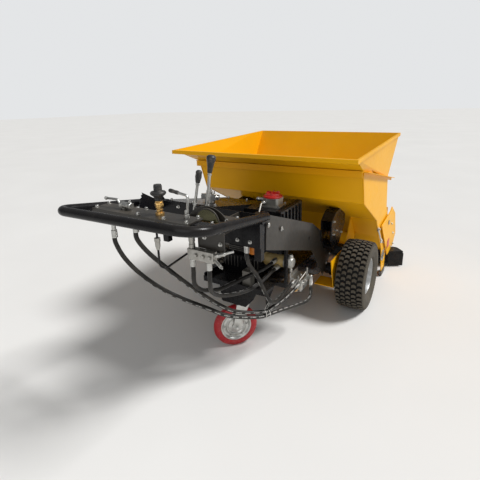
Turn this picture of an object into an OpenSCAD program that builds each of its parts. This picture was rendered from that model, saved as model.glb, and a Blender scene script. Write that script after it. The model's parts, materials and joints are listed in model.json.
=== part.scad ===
// Small walk-behind asphalt paver: open hopper over the drive axle, auger and screed at the far end,
// hydraulic deck and handlebar at the operator's end, carried by two turf tyres and one caster.
// Millimetres. X across, +Y from the operator towards the screed, +Z up, ground at z = 0.
// Sizes along Y are given from the drive axle, and axle_y moves them to the middle of the machine.

/* [Wheels] */
// Outside diameter of a drive tyre, over its lugs
tyre_od = 508; // [480:2:530]
// Width of a drive tyre
tyre_w = 204; // [190:2:212]
// Distance of each drive wheel's middle from the machine's middle
half_track = 538; // [534:1:545]
// Diameter of the caster wheel
caster_od = 280; // [260:2:284]
// Width of the caster wheel
caster_w = 50; // [40:1:56]

/* [Hopper] */
// Half width over the side plates
side_half_w = 608; // [606:1:609]
// Half width over the rim
rim_half_w = 629; // [620:1:640]
// Thickness of the hopper's sheets
sheet_t = 5; // [4:0.5:6]
// Height of the rim on the operator's side
rim_near_z = 1180; // [1150:5:1200]
// Height of the rim on the far side
rim_far_z = 1217; // [1190:5:1240]

/* [Screed] */
// Height of the screed's sole above the ground
screed_sole_z = 24; // [20:1:40]
// Outside diameter of the spreading auger
auger_od = 160; // [140:5:164]
// Lead of the auger's flights
auger_pitch = 160; // [140:10:180]

/* [Handlebar] */
// Diameter of the handlebar tube
bar_d = 42; // [36:1:44]
// Half width of the handlebar between tube centres
bar_half_w = 340; // [330:5:345]
// Height of the handlebar's grip
bar_z = 1047; // [1020:1:1060]

/* [Hidden] */
$fn = 64;

// Colours
YELLOW = [0.93, 0.66, 0.07];
BLACK = [0.07, 0.07, 0.08];
ZINC = [0.75, 0.75, 0.74];
DARK_RUBBER = [0.17, 0.15, 0.13];

// Places along the machine, from the drive axle
axle_z = tyre_od / 2;
screed_far_y = 1103;
grip_y = -1605;
arm_foot = [-1067, 962];
function bar_point(x, y) = [x, y, arm_foot[1] + (arm_foot[0] - y) * (bar_z - arm_foot[1]) / (arm_foot[0] - grip_y)];
bar_path = [bar_point(bar_half_w, arm_foot[0]), bar_point(bar_half_w, grip_y),
            bar_point(-bar_half_w - 50, grip_y - 45), bar_point(-bar_half_w, arm_foot[0])];
bar_bends = [110, 55];
bar_fall = atan((bar_z - arm_foot[1]) / (arm_foot[0] - grip_y));
near_reach = bend_centre(bar_path, bar_bends, 2)[1] - bar_bends[1] * cos(bar_fall) - bar_d / 2;
axle_y = -(near_reach + screed_far_y) / 2;

// Hopper sections in the YZ plane, from the drive axle, top to bottom
NECK = [-333, 1073];
KNEE = [-252, 855];
FLOOR_TOP = [197, 621];
FLOOR_LOW = [346, 439];
THROAT = [490, 295];
FAR_NECK = [500, 896];
FAR_KNEE = [572, 638];
FAR_THROAT = [655, 330];
near_wall_path = [NECK, KNEE, FLOOR_TOP, FLOOR_LOW, THROAT];
far_wall_path = [FAR_THROAT, FAR_KNEE, FAR_NECK];
side_path = concat(near_wall_path, [[575, 45], [700, 45], [712, 180], [712, 480], FAR_KNEE, FAR_NECK]);
rim_near_y = -588;
rim_far_y = 738;

// Joint centres
auger_at = [560, 205];
screed_pivot = [640, 478];
caster_at = [0, -843, caster_od / 2];
swivel_at = [33, -808];
caster_turn = 46;

// Screed arms, across
arm_x0 = 616;
arm_x1 = 624;

// Lashing holes low on the side plates
tie_down_at = [640, 105];
tie_down_d = 28;

// Moves what is drawn from the drive axle to the middle of the machine
module place() { translate([0, axle_y, 0]) children(); }

// Draws its children on both sides
module both_sides() { children(); mirror([1, 0, 0]) children(); }

// A plate whose outline is given in the YZ plane, from x0 to x1
module slab_x(x0, x1, outline) {
    translate([x0, 0, 0]) rotate([90, 0, 90]) linear_extrude(x1 - x0) polygon(outline);
}

// A round bar along X
module bar_x(x0, x1, at, d) {
    translate([x0, at[0], at[1]]) rotate([0, 90, 0]) cylinder(d = d, h = x1 - x0);
}

// A box from its low corner to its high corner
module box(low, high) { translate(low) cube(high - low); }

// Carries its children so that X and Y point along two unit vectors, from an origin
module framed(x, y, origin) {
    z = cross(x, y);
    multmatrix([for (k = [0 : 2]) [x[k], y[k], z[k], origin[k]]]) children();
}

// A round bar from a to b
module rod(a, b, d) {
    run = unit(b - a);
    side = unit(cross(run, abs(run[2]) < 0.9 ? [0, 0, 1] : [1, 0, 0]));
    framed(side, cross(run, side), a) cylinder(d = d, h = norm(b - a));
}

// A round bar bent at the inner points of a path, with a radius for each bend
function run_at(p, i) = unit(p[i + 1] - p[i]);
function bend_angle(p, i) = acos(run_at(p, i - 1) * run_at(p, i));
function bend_cut(p, r, i) = i == 0 || i == len(p) - 1 ? 0 : r[i - 1] * tan(bend_angle(p, i) / 2);
function bend_inward(p, i) = let (u = run_at(p, i - 1), v = run_at(p, i)) unit(v - u * (u * v));
function bend_centre(p, r, i) = p[i] - run_at(p, i - 1) * bend_cut(p, r, i) + bend_inward(p, i) * r[i - 1];
function bent(p, r, parts = 8) = [p[0], for (i = [1 : len(p) - 2], k = [0 : parts])
    let (a = bend_angle(p, i) * k / parts)
    bend_centre(p, r, i) + (run_at(p, i - 1) * sin(a) - bend_inward(p, i) * cos(a)) * r[i - 1], p[len(p) - 1]];
module bent_bar(p, r, d, up, sides) {
    c = bent(p, r);
    swept(c, [run_at(c, 0), run_at(c, len(c) - 2)], d, up, sides);
}

// A round bar swept along centres c, its ends square to two directions; up is never along it
module swept(c, ends, d, up, sides) {
    last = len(c) - 1;
    far = last * sides;
    points = [for (i = [0 : last])
        let (t = i == 0 ? ends[0] : i == last ? ends[1] : unit(run_at(c, i - 1) + run_at(c, i)),
             u = unit(cross(t, up)),
             v = cross(t, u))
        for (k = [0 : sides - 1]) c[i] + (u * cos(360 * k / sides) + v * sin(360 * k / sides)) * d / 2];
    walls = [for (i = [0 : last - 1], k = [0 : sides - 1])
        let (a = i * sides + k, b = i * sides + (k + 1) % sides)
        each [[a, b + sides, b], [a, a + sides, b + sides]]];
    caps = [for (k = [1 : sides - 2]) each [[0, k, k + 1], [far, far + k + 1, far + k]]];
    polyhedron(points, concat(walls, caps));
}

// A smooth curve through the points of a route, two parts to each stretch
function knot(p, i) = p[max(0, min(len(p) - 1, i))];
function eased(a, b, c, d, t) =
    (2 * b + (c - a) * t + (2 * a - 5 * b + 4 * c - d) * t * t + (3 * b - a - 3 * c + d) * t * t * t) / 2;
function smooth(p) = [for (i = [0 : len(p) - 2], t = [0, 0.5])
    eased(knot(p, i - 1), p[i], p[i + 1], knot(p, i + 2), t), p[len(p) - 1]];

// A hose through a route, square to its first and last stretch at the ends
module hose(route, d) {
    swept(smooth(route), [run_at(route, 0), run_at(route, len(route) - 2)], d, [1, 0, 0], 8);
}

// Corner-mitred strip of thickness t on the left of a path in the plane
function unit(v) = v / norm(v);
function left_of(a, b) = let (d = unit(b - a)) [-d[1], d[0]];
function mitre(p, i, t) =
    let (last = len(p) - 1,
         n1 = left_of(p[max(i - 1, 0)], p[max(i, 1)]),
         n2 = left_of(p[min(i, last - 1)], p[min(i + 1, last)]),
         m = unit(n1 + n2))
    p[i] + m * t / (m * n1);
function band(p, t) = concat(p, [for (i = [len(p) - 1 : -1 : 0]) mitre(p, i, t)]);

// A box with sloping walls: half widths, near and far y, and heights at each edge
module frustum(low, high) {
    points = [for (q = [low, high]) each [
        [-q[0], q[1], q[3]], [q[0], q[1], q[3]], [q[0], q[2], q[4]], [-q[0], q[2], q[4]]]];
    sides = [for (k = [0 : 3]) let (n = (k + 1) % 4) each [[k + 4, n + 4, n], [k + 4, n, k]]];
    polyhedron(points, concat([[0, 1, 2], [0, 2, 3], [6, 5, 4], [7, 6, 4]], sides));
}
function between(a, b, k) = a + (b - a) * k;

// Drive wheels
bead_r = 128;
rim_r = 140;
bead_w = 146;

// Turf tread: rows of blocks across, staggered by half a pitch, on a tyre drawn as one skin
lug_pitches = 22;
lug_h = 8;
lug_rows = [[-88, -46], [-42, -2], [2, 42], [46, 88]];
crown = tyre_od / 2;
side_skin = [[bead_r, 73], [rim_r + 0.3, 73], [bead_r + 44, tyre_w / 2], [crown - 36, tyre_w / 2]];
function lug_r(row, step) = crown - ((step + 2 * (row % 2)) % 4 < 2 ? 0 : lug_h) - (row % 3 == 0 ? 2 : 0);
function tyre_ring(step) = concat(
    [for (q = side_skin) [q[0], -q[1]]],
    [for (row = [0 : 3]) each [[lug_r(row, step), lug_rows[row][0]], [lug_r(row, step), lug_rows[row][1]]]],
    [for (i = [3 : -1 : 0]) side_skin[i]]);
module tyre_at(side) {
    steps = 4 * lug_pitches;
    m = len(tyre_ring(0));
    points = [for (i = [0 : steps - 1], q = tyre_ring(i))
        let (a = 360 * i / steps) [q[0] * cos(a), q[0] * sin(a), q[1]]];
    faces = [for (i = [0 : steps - 1], j = [0 : m - 1])
        let (on = (j + 1) % m, next = (i + 1) % steps)
        each [[i * m + j, i * m + on, next * m + on], [i * m + j, next * m + on, next * m + j]]];
    color(DARK_RUBBER) place() translate([side * half_track, 0, axle_z]) rotate([0, 90, 0])
        polyhedron(points, faces);
}
module tyre_left() tyre_at(-1);
module tyre_right() tyre_at(1);

hub_face = 452;
module rim_half() {
    hub_z = hub_face - half_track;
    seat_r = bead_r - 0.2;
    rotate_extrude() polygon([[seat_r, -73.2], [rim_r, -73.2], [rim_r, -80], [121, -80], [121, -36], [66, -52],
        [38, -52], [38, hub_z], [0, hub_z], [0, -40], [34, -40], [34, -46], [64, -46], [121, -29.5], [121, 80],
        [rim_r, 80], [rim_r, 73.2], [seat_r, 73.2]]);
    translate([0, 0, hub_z - 24]) cylinder(d = 30, h = 26);
    for (i = [0 : 4]) rotate(i * 72) translate([52, 0, -47]) cylinder(d = 16, h = 11, $fn = 6);
}
module rim_at(side) {
    color(ZINC) place() translate([side * half_track, 0, axle_z]) mirror([side < 0 ? 1 : 0, 0, 0])
        rotate([0, 90, 0]) rim_half();
}
module rim_left() rim_at(-1);
module rim_right() rim_at(1);

// Hydraulic wheel motors, bolted inside the wheel plates, each with a nose that carries the wheel's stub shaft
plate_x0 = 412;
plate_x1 = 418;
module wheel_motors() {
    color(BLACK) place() both_sides() difference() {
        union() {
            bar_x(300, 340, [0, axle_z], 84);
            bar_x(340, plate_x0, [0, axle_z], 104);
            bar_x(plate_x0, 446, [0, axle_z], 70);
        }
        bar_x(420, 450, [0, axle_z], 30.2);
    }
}

wheel_plate_outline = [[-255, 425], [-180, 190], [180, 190], [300, 300],
                       FLOOR_LOW, FLOOR_TOP, [130, 500], [70, 418]];
module wheel_plates() {
    color(YELLOW) place() both_sides() {
        difference() {
            slab_x(plate_x0, plate_x1, wheel_plate_outline);
            bar_x(plate_x0 - 1, plate_x1 + 1, [0, axle_z], 70.4);
        }
        box([276, -180, 190], [plate_x0, -40, 196]);
    }
}

// Hopper
wall_half_w = side_half_w - sheet_t;
neck_fall = (NECK - FAR_NECK)[1] / (FAR_NECK - NECK)[0];
module below_neck() {
    difference() {
        children();
        slab_x(-700, 700, [NECK - [60, -60 * neck_fall], FAR_NECK + [60, -60 * neck_fall], FAR_NECK + [60, 90],
            NECK + [-60, 90]]);
    }
}
module hopper_near_wall() {
    color(YELLOW) place() below_neck() slab_x(-wall_half_w, wall_half_w, band(near_wall_path, sheet_t));
}
module hopper_far_wall() {
    color(YELLOW) place() below_neck() slab_x(-wall_half_w, wall_half_w, band(far_wall_path, sheet_t));
}
module side_plate_at(side) {
    color(YELLOW) place() mirror([side < 0 ? 1 : 0, 0, 0]) difference() {
        slab_x(wall_half_w, side_half_w, side_path);
        bar_x(wall_half_w - 1, side_half_w + 1, screed_pivot, 24.2);
        bar_x(wall_half_w - 1, side_half_w + 1, tie_down_at, tie_down_d);
        bar_x(wall_half_w - 1, side_half_w + 1, auger_at, 60);
    }
}
module side_plate_left() side_plate_at(-1);
module side_plate_right() side_plate_at(1);

ext_low = [side_half_w, NECK[0], FAR_NECK[0], NECK[1], FAR_NECK[1]];
ext_high = [rim_half_w, rim_near_y, rim_far_y, rim_near_z, rim_far_z];
// Level cut through the walls is wider than their thickness where they lean
ext_inset = [-sheet_t, 2.6 * sheet_t, -1.25 * sheet_t, 0, 0];
lip_h = 24;
lip_out = 8;
module hopper_extension() {
    lip = ext_high + [lip_out, -lip_out, lip_out, 0, 0];
    color(YELLOW) place() difference() {
        union() {
            frustum(ext_low, ext_high);
            frustum(lip - [0, 0, 0, lip_h, lip_h], lip);
        }
        frustum(between(ext_low, ext_high, -0.1) + ext_inset, between(ext_low, ext_high, 1.1) + ext_inset);
    }
}

// Angle bars round the neck, under the extension
ledge_out = 28;
ledge_h = 24;
module hopper_ledge() {
    far_y = 660;
    top = [NECK, [far_y, NECK[1] - neck_fall * (far_y - NECK[0])]];
    color(YELLOW) place() {
        both_sides() difference() {
            slab_x(side_half_w, side_half_w + ledge_out, concat(top, [top[1] - [0, ledge_h], top[0] - [0, ledge_h]]));
            slab_x(side_half_w + 4, side_half_w + ledge_out + 1,
                   [top[0] - [1, 4], top[1] - [-1, 4], top[1] - [-1, ledge_h + 1], top[0] - [1, ledge_h + 1]]);
        }
        slab_x(-side_half_w, side_half_w,
               [NECK, NECK + [-30, 8], NECK + [-30, -34], NECK + [-25, -34], NECK + [-25, 1],
                between(NECK, KNEE, 0.03)]);
    }
}

module skid_shoes() {
    color(BLACK) place() both_sides() slab_x(594, 614, [[566, 14], [586, 3], [694, 3], [708, 14], [708, 45], [566, 45]]);
}
module pivot_pins() {
    color(ZINC) place() both_sides() {
        bar_x(wall_half_w, arm_x1 + 1, screed_pivot, 24);
        bar_x(arm_x1 + 1, arm_x1 + 9, screed_pivot, 40);
        difference() {
            bar_x(side_half_w, arm_x0 - 1, screed_pivot, 44);
            bar_x(side_half_w - 1, arm_x0, screed_pivot, 24);
        }
    }
}

// Frame, deck and belly tray
tray_near = -920;
tray_far = 100;
tray_x0 = -160;
tray_x1 = 250;
tray_t = 6;
function tray_top(y) = 465 - (y - tray_near) * 0.066;
function tray_under(y) = tray_top(y) - tray_t;
rail_x0 = 280;
rail_x1 = 318;
RAIL_NEAR = [-1084, 956.3];
RAIL_KNEE = [-400, 728];
function rail_top(y) = between(RAIL_NEAR, RAIL_KNEE, (y - RAIL_NEAR[0]) / (RAIL_KNEE - RAIL_NEAR)[0])[1];
rail_outline = [RAIL_NEAR, RAIL_KNEE, [60, 466], [165, 400],
                [165, 330], [106, 330], [40, 407], [-380, 640], [-1084, 880]];
hanger_y = [-730, -700];
front_top = 976;
module main_frame() {
    color(BLACK) place() {
        both_sides() {
            slab_x(rail_x0, rail_x1, rail_outline);
            box([rail_x0, -1084, 730], [rail_x1, -1050, front_top]);
            slab_x(rail_x0, rail_x0 + 12, [[hanger_y[0], tray_under(hanger_y[0]) - 30],
                [hanger_y[1], tray_under(hanger_y[1]) - 30], [hanger_y[1], 770], [hanger_y[0], 780]]);
        }
        slab_x(-rail_x0 - 12, rail_x0 + 12, [[hanger_y[0], tray_under(hanger_y[0]) - 30],
            [hanger_y[1], tray_under(hanger_y[1]) - 30], [hanger_y[1], tray_under(hanger_y[1])],
            [hanger_y[0], tray_under(hanger_y[0])]]);
        box([-rail_x1, -1092, 800], [rail_x1, -1084, front_top]);
        box([-rail_x1, -1084, 800], [rail_x1, -1050, 840]);
        box([-plate_x0, 100, 330], [plate_x0, 165, 400]);
    }
}
// Engine cover over the left and the middle, higher than the rails: undersides of its near and far edge
cover_near = [-1048, 964.5];
cover_far = [-400, 830];
cover_x1 = 36;
cover_t = 4;
cover_slope = atan((cover_near - cover_far)[1] / (cover_far - cover_near)[0]);
cover_rise = [0, cover_t / cos(cover_slope)];
function cover_top(y) = (between(cover_near, cover_far, (y - cover_near[0]) / (cover_far - cover_near)[0]) + cover_rise)[1];
low_outline = [[-390, 728], [92, 438], [60, 380], [-142, 256], [-330, 480], [-390, 540], [-1040, 778]];
module side_cover_at(side, top) {
    color(BLACK) place() mirror([side < 0 ? 1 : 0, 0, 0]) {
        slab_x(rail_x1, rail_x1 + 5, concat(top, low_outline));
        for (p = [[-1020, 905], [-870, 840], [-440, 640], [-90, 440]]) bar_x(rail_x1 + 5, rail_x1 + 11, p, 20);
    }
}
module side_cover_left() side_cover_at(-1, [cover_near + cover_rise, cover_far + cover_rise]);
module side_cover_right() side_cover_at(1, [[-1032, 962]]);

// Skin, far wall and right wall of the engine cover, and a low plate to the right rail, open round the tank
skin_gap = 0.1;
function on_rail(y, up = 0) = [y, rail_top(y) + skin_gap + up];
module deck_plate() {
    y0 = cover_near[0];
    y1 = cover_far[0];
    weld = cover_rise / 2;
    color(BLACK) place() {
        slab_x(-rail_x1, cover_x1, [cover_near, cover_far, cover_far + cover_rise, cover_near + cover_rise]);
        slab_x(-rail_x1, cover_x1, [on_rail(y1 - cover_t), on_rail(y1), cover_far + weld, cover_far + weld - [cover_t, 0]]);
        slab_x(cover_x1 - cover_t, cover_x1, [on_rail(y0), on_rail(y1), cover_far + weld, cover_near + weld]);
        difference() {
            slab_x(cover_x1 - cover_t, rail_x1,
                   [on_rail(y0), on_rail(y1), on_rail(y1, cover_t), on_rail(y0, cover_t)]);
            box([cover_x1, tank_y[0] - 4, 600], [tank_fins_x + 4, tank_y[1] + 4, 1000]);
        }
    }
}

module hopper_brackets() {
    case_x = [323, 400];
    under = [for (y = [90, -60]) [y, between(KNEE, FLOOR_TOP, (y - KNEE[0]) / (FLOOR_TOP - KNEE)[0])[1]]];
    color(BLACK) place() both_sides() difference() {
        slab_x(case_x[0], case_x[1], concat([[-150, 470], [-60, 470], [90, 600]], under,
            [[-150, 745], [-225, 700], [-225, 560]]));
        box([case_x[0] + 8, -400, 500], [case_x[1] - 8, 20, 700]);
    }
}

module belly_tray() {
    color(BLACK) place() {
        slab_x(tray_x0, tray_x1, [for (q = [[tray_near, tray_t], [tray_far, tray_t], [tray_far, 0], [tray_near, 0]])
            [q[0], tray_top(q[0]) - q[1]]]);
        box([tray_x0 - tray_t, tray_near - tray_t, tray_top(tray_near) - 20],
            [tray_x1, tray_near, tray_top(tray_near) + 14]);
        slab_x(tray_x0 - tray_t, tray_x0, [for (q = [[tray_near, -tray_t], [-300, -tray_t], [-300, 30], [tray_near, 30]])
            [q[0], tray_top(q[0]) + q[1]]]);
    }
}

module engine_block() {
    color(BLACK) place() {
        slab_x(-150, 110, [[-720, tray_top(-720)], [-330, tray_top(-330)], [-330, 560], [-720, 560]]);
        box([-130, -680, 560], [32, -410, 690]);
        box([-11, -740, 470], [53, -720, 540]);
    }
}

// Oil tank with cooling ridges on its right side and its top
tank_top = 890;
tank_y = [-760, -450];
tank_x = [40, 272];
tank_fins_x = 280;
module hydraulic_tank() {
    color(BLACK) place() {
        box([tank_x[0], tank_y[0], 640], [tank_x[1], tank_y[1], tank_top]);
        for (i = [0 : 5]) box([tank_x[1], -740 + i * 50, 660], [tank_fins_x, -734 + i * 50, tank_top - 12]);
        for (i = [0 : 3]) box([240 + i * 8, tank_y[0] + 4, tank_top], [243 + i * 8, tank_y[1] - 4, tank_top + 5]);
    }
}
filter_at = [166, -645];
module filter_head() {
    color(ZINC) place() translate([filter_at[0], filter_at[1], tank_top]) {
        translate([-66, -58, 0]) cube([132, 116, 10]);
        translate([-50, -45, 10]) cube([100, 90, 44]);
        translate([-50, -6, 34]) rotate([0, -90, 0]) cylinder(d = 24, h = 40);
        translate([-92, -6, 34]) sphere(d = 30);
        translate([-30, -45, 30]) rotate([90, 0, 0]) cylinder(d = 20, h = 16);
        translate([-30, -64, 30]) sphere(d = 26);
    }
}
module filter_cap() {
    color([0.75, 0.1, 0.08]) place() translate([filter_at[0], filter_at[1], tank_top + 54]) {
        cylinder(d = 112, h = 12);
        translate([0, 0, 12]) cylinder(d = 88, h = 12);
        for (k = [0 : 5]) rotate(k * 60) translate([14, -4, 24]) cube([28, 8, 8]);
    }
}

pump_at = [-640, 545];
pump_d = 76;
module charge_pump() {
    color([0.8, 0.72, 0.5]) place() {
        bar_x(110, 250, pump_at, pump_d);
        bar_x(118, 126, pump_at, pump_d + 10);
    }
}
valve_x = [250, 330];
module solenoid_block() {
    color(ZINC) place() {
        slab_x(valve_x[0] - 6, valve_x[0],
               [[-560, tray_under(-560)], [-440, tray_under(-440)], [-440, 330], [-560, 330]]);
        box([valve_x[0], -560, 330], [valve_x[1], -440, 400]);
        for (y = [-530, -500, -470]) translate([valve_x[0] + 26, y, 296]) cylinder(d = 24, h = 34);
        for (y = [-530, -470]) translate([valve_x[0] + 56, y, 304]) cylinder(d = 20, h = 26, $fn = 6);
    }
}
module hose_bracket() {
    color(BLACK) place() slab_x(valve_x[0] - 6, valve_x[0], [[-910, tray_under(-910)], [-800, tray_under(-800)],
        [-862, 400], [-866, 300], [-892, 300], [-896, 400]]);
}

// Handlebar: a U of tube in a plane that falls towards the frame, with a cross flat welded between its arms
flat_y = [-1480, -1430];
flat_z = [1020, 1028];
module handlebar() {
    color(BLACK) place() {
        bent_bar(bar_path, bar_bends, bar_d, [0, 0, 1], 32);
        both_sides() box([rail_x1, -1084, 925], [rail_x1 + 10, -1050, 985]);
        box([-370, flat_y[0], flat_z[0]], [bar_half_w - 5, flat_y[1], flat_z[1]]);
    }
}

// Console: a folded plate on the cross flat
plate_z = flat_z[1] + 6;
module console() {
    color(BLACK) place() {
        box([-342, -1506, flat_z[1]], [222, -1405, plate_z]);
        box([-342, -1506, 990], [222, -1500, flat_z[1]]);
        both_sides() box([210, -1500, flat_z[1] - 24], [216, -1482, flat_z[1]]);
    }
}
// Quadrant: base and down plate, carried by a web from the frame, with two round gates across
quadrant_z = 975;
module lever_quadrant() {
    color(BLACK) place() difference() {
        union() {
            translate([0, 0, quadrant_z]) linear_extrude(6)
                polygon([[30, -1330], [215, -1330], [222, -1300], [303, -1225], [280, -1190], [30, -1190]]);
            box([110, -1306, 850], [255, -1300, quadrant_z]);
            box([200, -1300, 900], [206, -1092, quadrant_z]);
            translate([170, -1300, quadrant_z + 6]) rotate([90, 0, 0]) gate(62);
            translate([144, -1262, quadrant_z + 6]) rotate([90, 0, 0]) gate(129, 70);
        }
        for (q = lever_table) lever_rod(q, q[3] + 0.6);
    }
}
module gate(r, sunk = 0) intersection() {
    translate([0, -sunk, 0]) cylinder(r = r, h = 6);
    translate([-r, 0, 0]) cube([2 * r, r, 6]);
}
// Control levers: foot, top of the rod, end of the knob, rod diameter
lever_table = [[[122, -1245, 981], [151, -1245, 1189], [166, -1245, 1268], 14],
               [[46, -1245, 981], [81, -1245, 1138], [94, -1245, 1196], 13]];
module lever_rod(q, d) rod(q[0], q[1], d);
module lever_rods() {
    color(ZINC) place() for (q = lever_table) {
        lever_rod(q, q[3]);
        translate(q[0]) cylinder(d = 22, h = 12);
    }
}
module lever_knobs() {
    color(BLACK) place() {
        for (k = [0, 1]) {
            q = lever_table[k];
            run = unit(q[1] - q[0]);
            slim = 6 * k;
            shape = [[0, 0], [10, 0], [12, 0.2], [15, 0.5], [21 - slim, 0.8], [19 - slim, 0.94], [12, 1], [0, 1]];
            framed(cross([0, 1, 0], run), [0, 1, 0], q[1]) rotate_extrude()
                polygon([for (p = shape) [p[0], p[1] * norm(q[2] - q[1])]]);
        }
        rod(grip_from, grip_to, 17);
        translate([30, -1450, regulator_z + 63]) rotate_extrude()
            polygon([[0, 0], [15, 0], [15, 6], [24, 26], [32, 28], [32, 40], [17, 44], [16.5, 70], [0, 70]]);
    }
}
regulator_z = plate_z;
module regulator() {
    color([0.75, 0.55, 0.2]) place() translate([30, -1450, regulator_z]) {
        cylinder(d = 38, h = 12);
        cylinder(d = 25, h = 40);
        translate([0, 0, 34]) cylinder(d = 36, h = 29, $fn = 6);
    }
}
// Two bent valve levers on the console: the left one with a bare ball, the right one with a grip
grip_from = [142, -1450, 1141];
grip_to = [93, -1450, 1148];
module clamp_levers() {
    color(ZINC) place() {
        translate([-185, -1452, plate_z]) cylinder(d = 26, h = 18);
        translate([-205, -1452, plate_z + 19]) rotate([0, 90, 0]) cylinder(d = 34, h = 70, $fn = 6);
        bent_bar([[-200, -1452, plate_z + 10], [-226, -1452, 1075], [-300, -1452, 1073]], [14], 11, [0, 1, 0], 12);
        translate([-300, -1452, 1073]) sphere(d = 17);
        translate([176, -1450, plate_z]) cylinder(d = 24, h = 22, $fn = 6);
        bent_bar([[176, -1450, plate_z + 1], [190, -1450, 1134], grip_from], [16], 11, [0, 1, 0], 12);
    }
}
// Toothed sector on the front plate, five teeth on its near edge
TOOTH_TOP = [-1226, 1049];
TOOTH_LOW = [-1264, 975];
module toothed_sector() {
    teeth = [for (i = [0 : 4]) each [between(TOOTH_TOP, TOOTH_LOW, i / 5),
        between(TOOTH_TOP, TOOTH_LOW, (i + 0.85) / 5) + [11, 3]]];
    color(BLACK) place() slab_x(-306, -300, concat([[-1092, 930], [-1092, 972], [-1122, 988]], teeth,
        [[-1250, 962], [-1180, 935]]));
}
module valve_manifold() {
    color(ZINC) place() {
        box([70, -1340, 800], [215, -1306, 850]);
        translate([88, -1323, 850]) cylinder(d = 30, h = 56);
        translate([88, -1323, 906]) cylinder(d = 24, h = 18, $fn = 6);
        rod([215, -1323, 832], [262, -1323, 850], 18);
        rod([262, -1323, 850], [300, -1300, 862], 12);
    }
}
module valve_cluster() {
    color(ZINC) place() translate([-110, -900, cover_top(-900) + skin_gap]) rotate([-cover_slope, 0, 0]) {
        cylinder(d = 60, h = 50);
        translate([-50, -20, 20]) cube([100, 40, 30]);
        for (k = [0 : 5]) rotate(k * 60) translate([24, 0, 50]) cylinder(d = 9, h = 22);
        translate([0, 0, 50]) cylinder(d = 24, h = 30, $fn = 6);
    }
}

// Caster: post under the tray, swivelling fork, wheel; drawn about the swivel with the wheel trailing along -X
trail = norm([caster_at[0], caster_at[1]] - swivel_at);
crown_z = caster_od + 8;
race_z = crown_z + 20;
post_z = race_z + 5;
kingpin_d = 20;
axle_d = 16;
leg_gap = caster_w / 2 + 5;
module about_swivel() { place() translate([swivel_at[0], swivel_at[1], 0]) rotate(caster_turn) children(); }
module about_caster_axle() {
    about_swivel() translate([-trail, 0, caster_od / 2]) rotate([90, 0, 0]) children();
}
module caster_post() {
    color(BLACK) place() difference() {
        union() {
            translate([swivel_at[0], swivel_at[1], post_z]) cylinder(d = 88, h = 22);
            translate([swivel_at[0] + 12, 0, 0]) frustum([55, -875, -750, post_z + 20, post_z + 20],
                    [100, -905, -735, tray_under(-905), tray_under(-735)]);
        }
        translate([swivel_at[0], swivel_at[1], post_z - 1]) cylinder(d = kingpin_d + 0.2, h = 41);
    }
}
module caster_fork() {
    color(ZINC) about_swivel() {
        translate([-44, -leg_gap - 4, crown_z]) cube([84, 2 * leg_gap + 8, 6]);
        translate([0, 0, crown_z + 6]) cylinder(d = 80, h = race_z - crown_z - 6);
        translate([0, 0, race_z]) cylinder(d = kingpin_d, h = 38);
        for (side = [-1, 1]) translate([0, side * (leg_gap + 2) + 2, 0]) rotate([90, 0, 0]) linear_extrude(4)
            polygon([[-trail - 18, 132], [-trail - 6, 122], [-trail + 6, 122], [-trail + 18, 132],
                     [36, crown_z], [-44, crown_z], [-trail - 18, 152]]);
        translate([-trail, leg_gap, caster_od / 2]) rotate([90, 0, 0]) cylinder(d = axle_d, h = 2 * leg_gap);
        for (side = [-1, 1]) translate([-trail, side * (leg_gap + 8) + 4, caster_od / 2]) rotate([90, 0, 0])
            cylinder(d = 24, h = 8, $fn = 6);
    }
}
tread_r = caster_od / 2;
caster_rim_r = 97;
module caster_tyre() {
    half = caster_w / 2;
    flank = [[caster_rim_r, half - 3], [caster_rim_r + 18, half], [tread_r - 10, half - 5], [tread_r - 3, half - 13]];
    color([0.72, 0.07, 0.09]) about_caster_axle() rotate_extrude() polygon(concat(
        [for (q = flank) [q[0], -q[1]]], [[tread_r, 0]], [for (i = [3 : -1 : 0]) flank[i]]));
}
module caster_rim() {
    face = [[axle_d / 2 + 0.1, 26], [24, 26], [26, 14], [50, 10], [56, 16],
            [64, 10], [80, 8], [86, 18], [caster_rim_r - 0.2, 21]];
    color(ZINC) about_caster_axle() rotate_extrude()
        polygon(concat(face, [for (i = [len(face) - 1 : -1 : 0]) [face[i][0], -face[i][1]]]));
}

// Auger under the throat, with opposite hands that carry mix outwards
shaft_d = 50;
shaft_end = 614;
flight_t = 6;
flight_steps = 20;
module auger_shaft() {
    color(BLACK) place() bar_x(-shaft_end, shaft_end, auger_at, shaft_d);
}
function flight_ring(x, angle, hand) = [for (q = [[0, shaft_d / 2 - 2], [0, auger_od / 2], [flight_t, auger_od / 2],
    [flight_t, shaft_d / 2 - 2]]) [x + q[0], q[1] * cos(angle), hand * q[1] * sin(angle)]];
module flight(from_x, turns) {
    n = flight_steps * turns;
    points = [for (i = [0 : n]) each flight_ring(from_x + auger_pitch * i / flight_steps, 360 * i / flight_steps, 1)];
    sides = [for (i = [0 : n - 1], k = [0 : 3]) let (a = 4 * i + k, b = 4 * i + (k + 1) % 4)
        each [[a, b, b + 4], [a, b + 4, a + 4]]];
    caps = [[2, 1, 0], [3, 2, 0], [4 * n, 4 * n + 1, 4 * n + 2], [4 * n, 4 * n + 2, 4 * n + 3]];
    polyhedron(points, concat(caps, sides));
}
module auger_flights() {
    color(BLACK) place() translate([0, auger_at[0], auger_at[1]]) both_sides() flight(20, 3.5);
}
module auger_bearings() {
    color(ZINC) place() both_sides() difference() {
        union() {
            bar_x(side_half_w, side_half_w + 5, auger_at, 96);
            bar_x(side_half_w, side_half_w + 8, auger_at, 70);
        }
        bar_x(side_half_w - 1, side_half_w + 9, auger_at, shaft_d + 0.1);
    }
}

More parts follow.
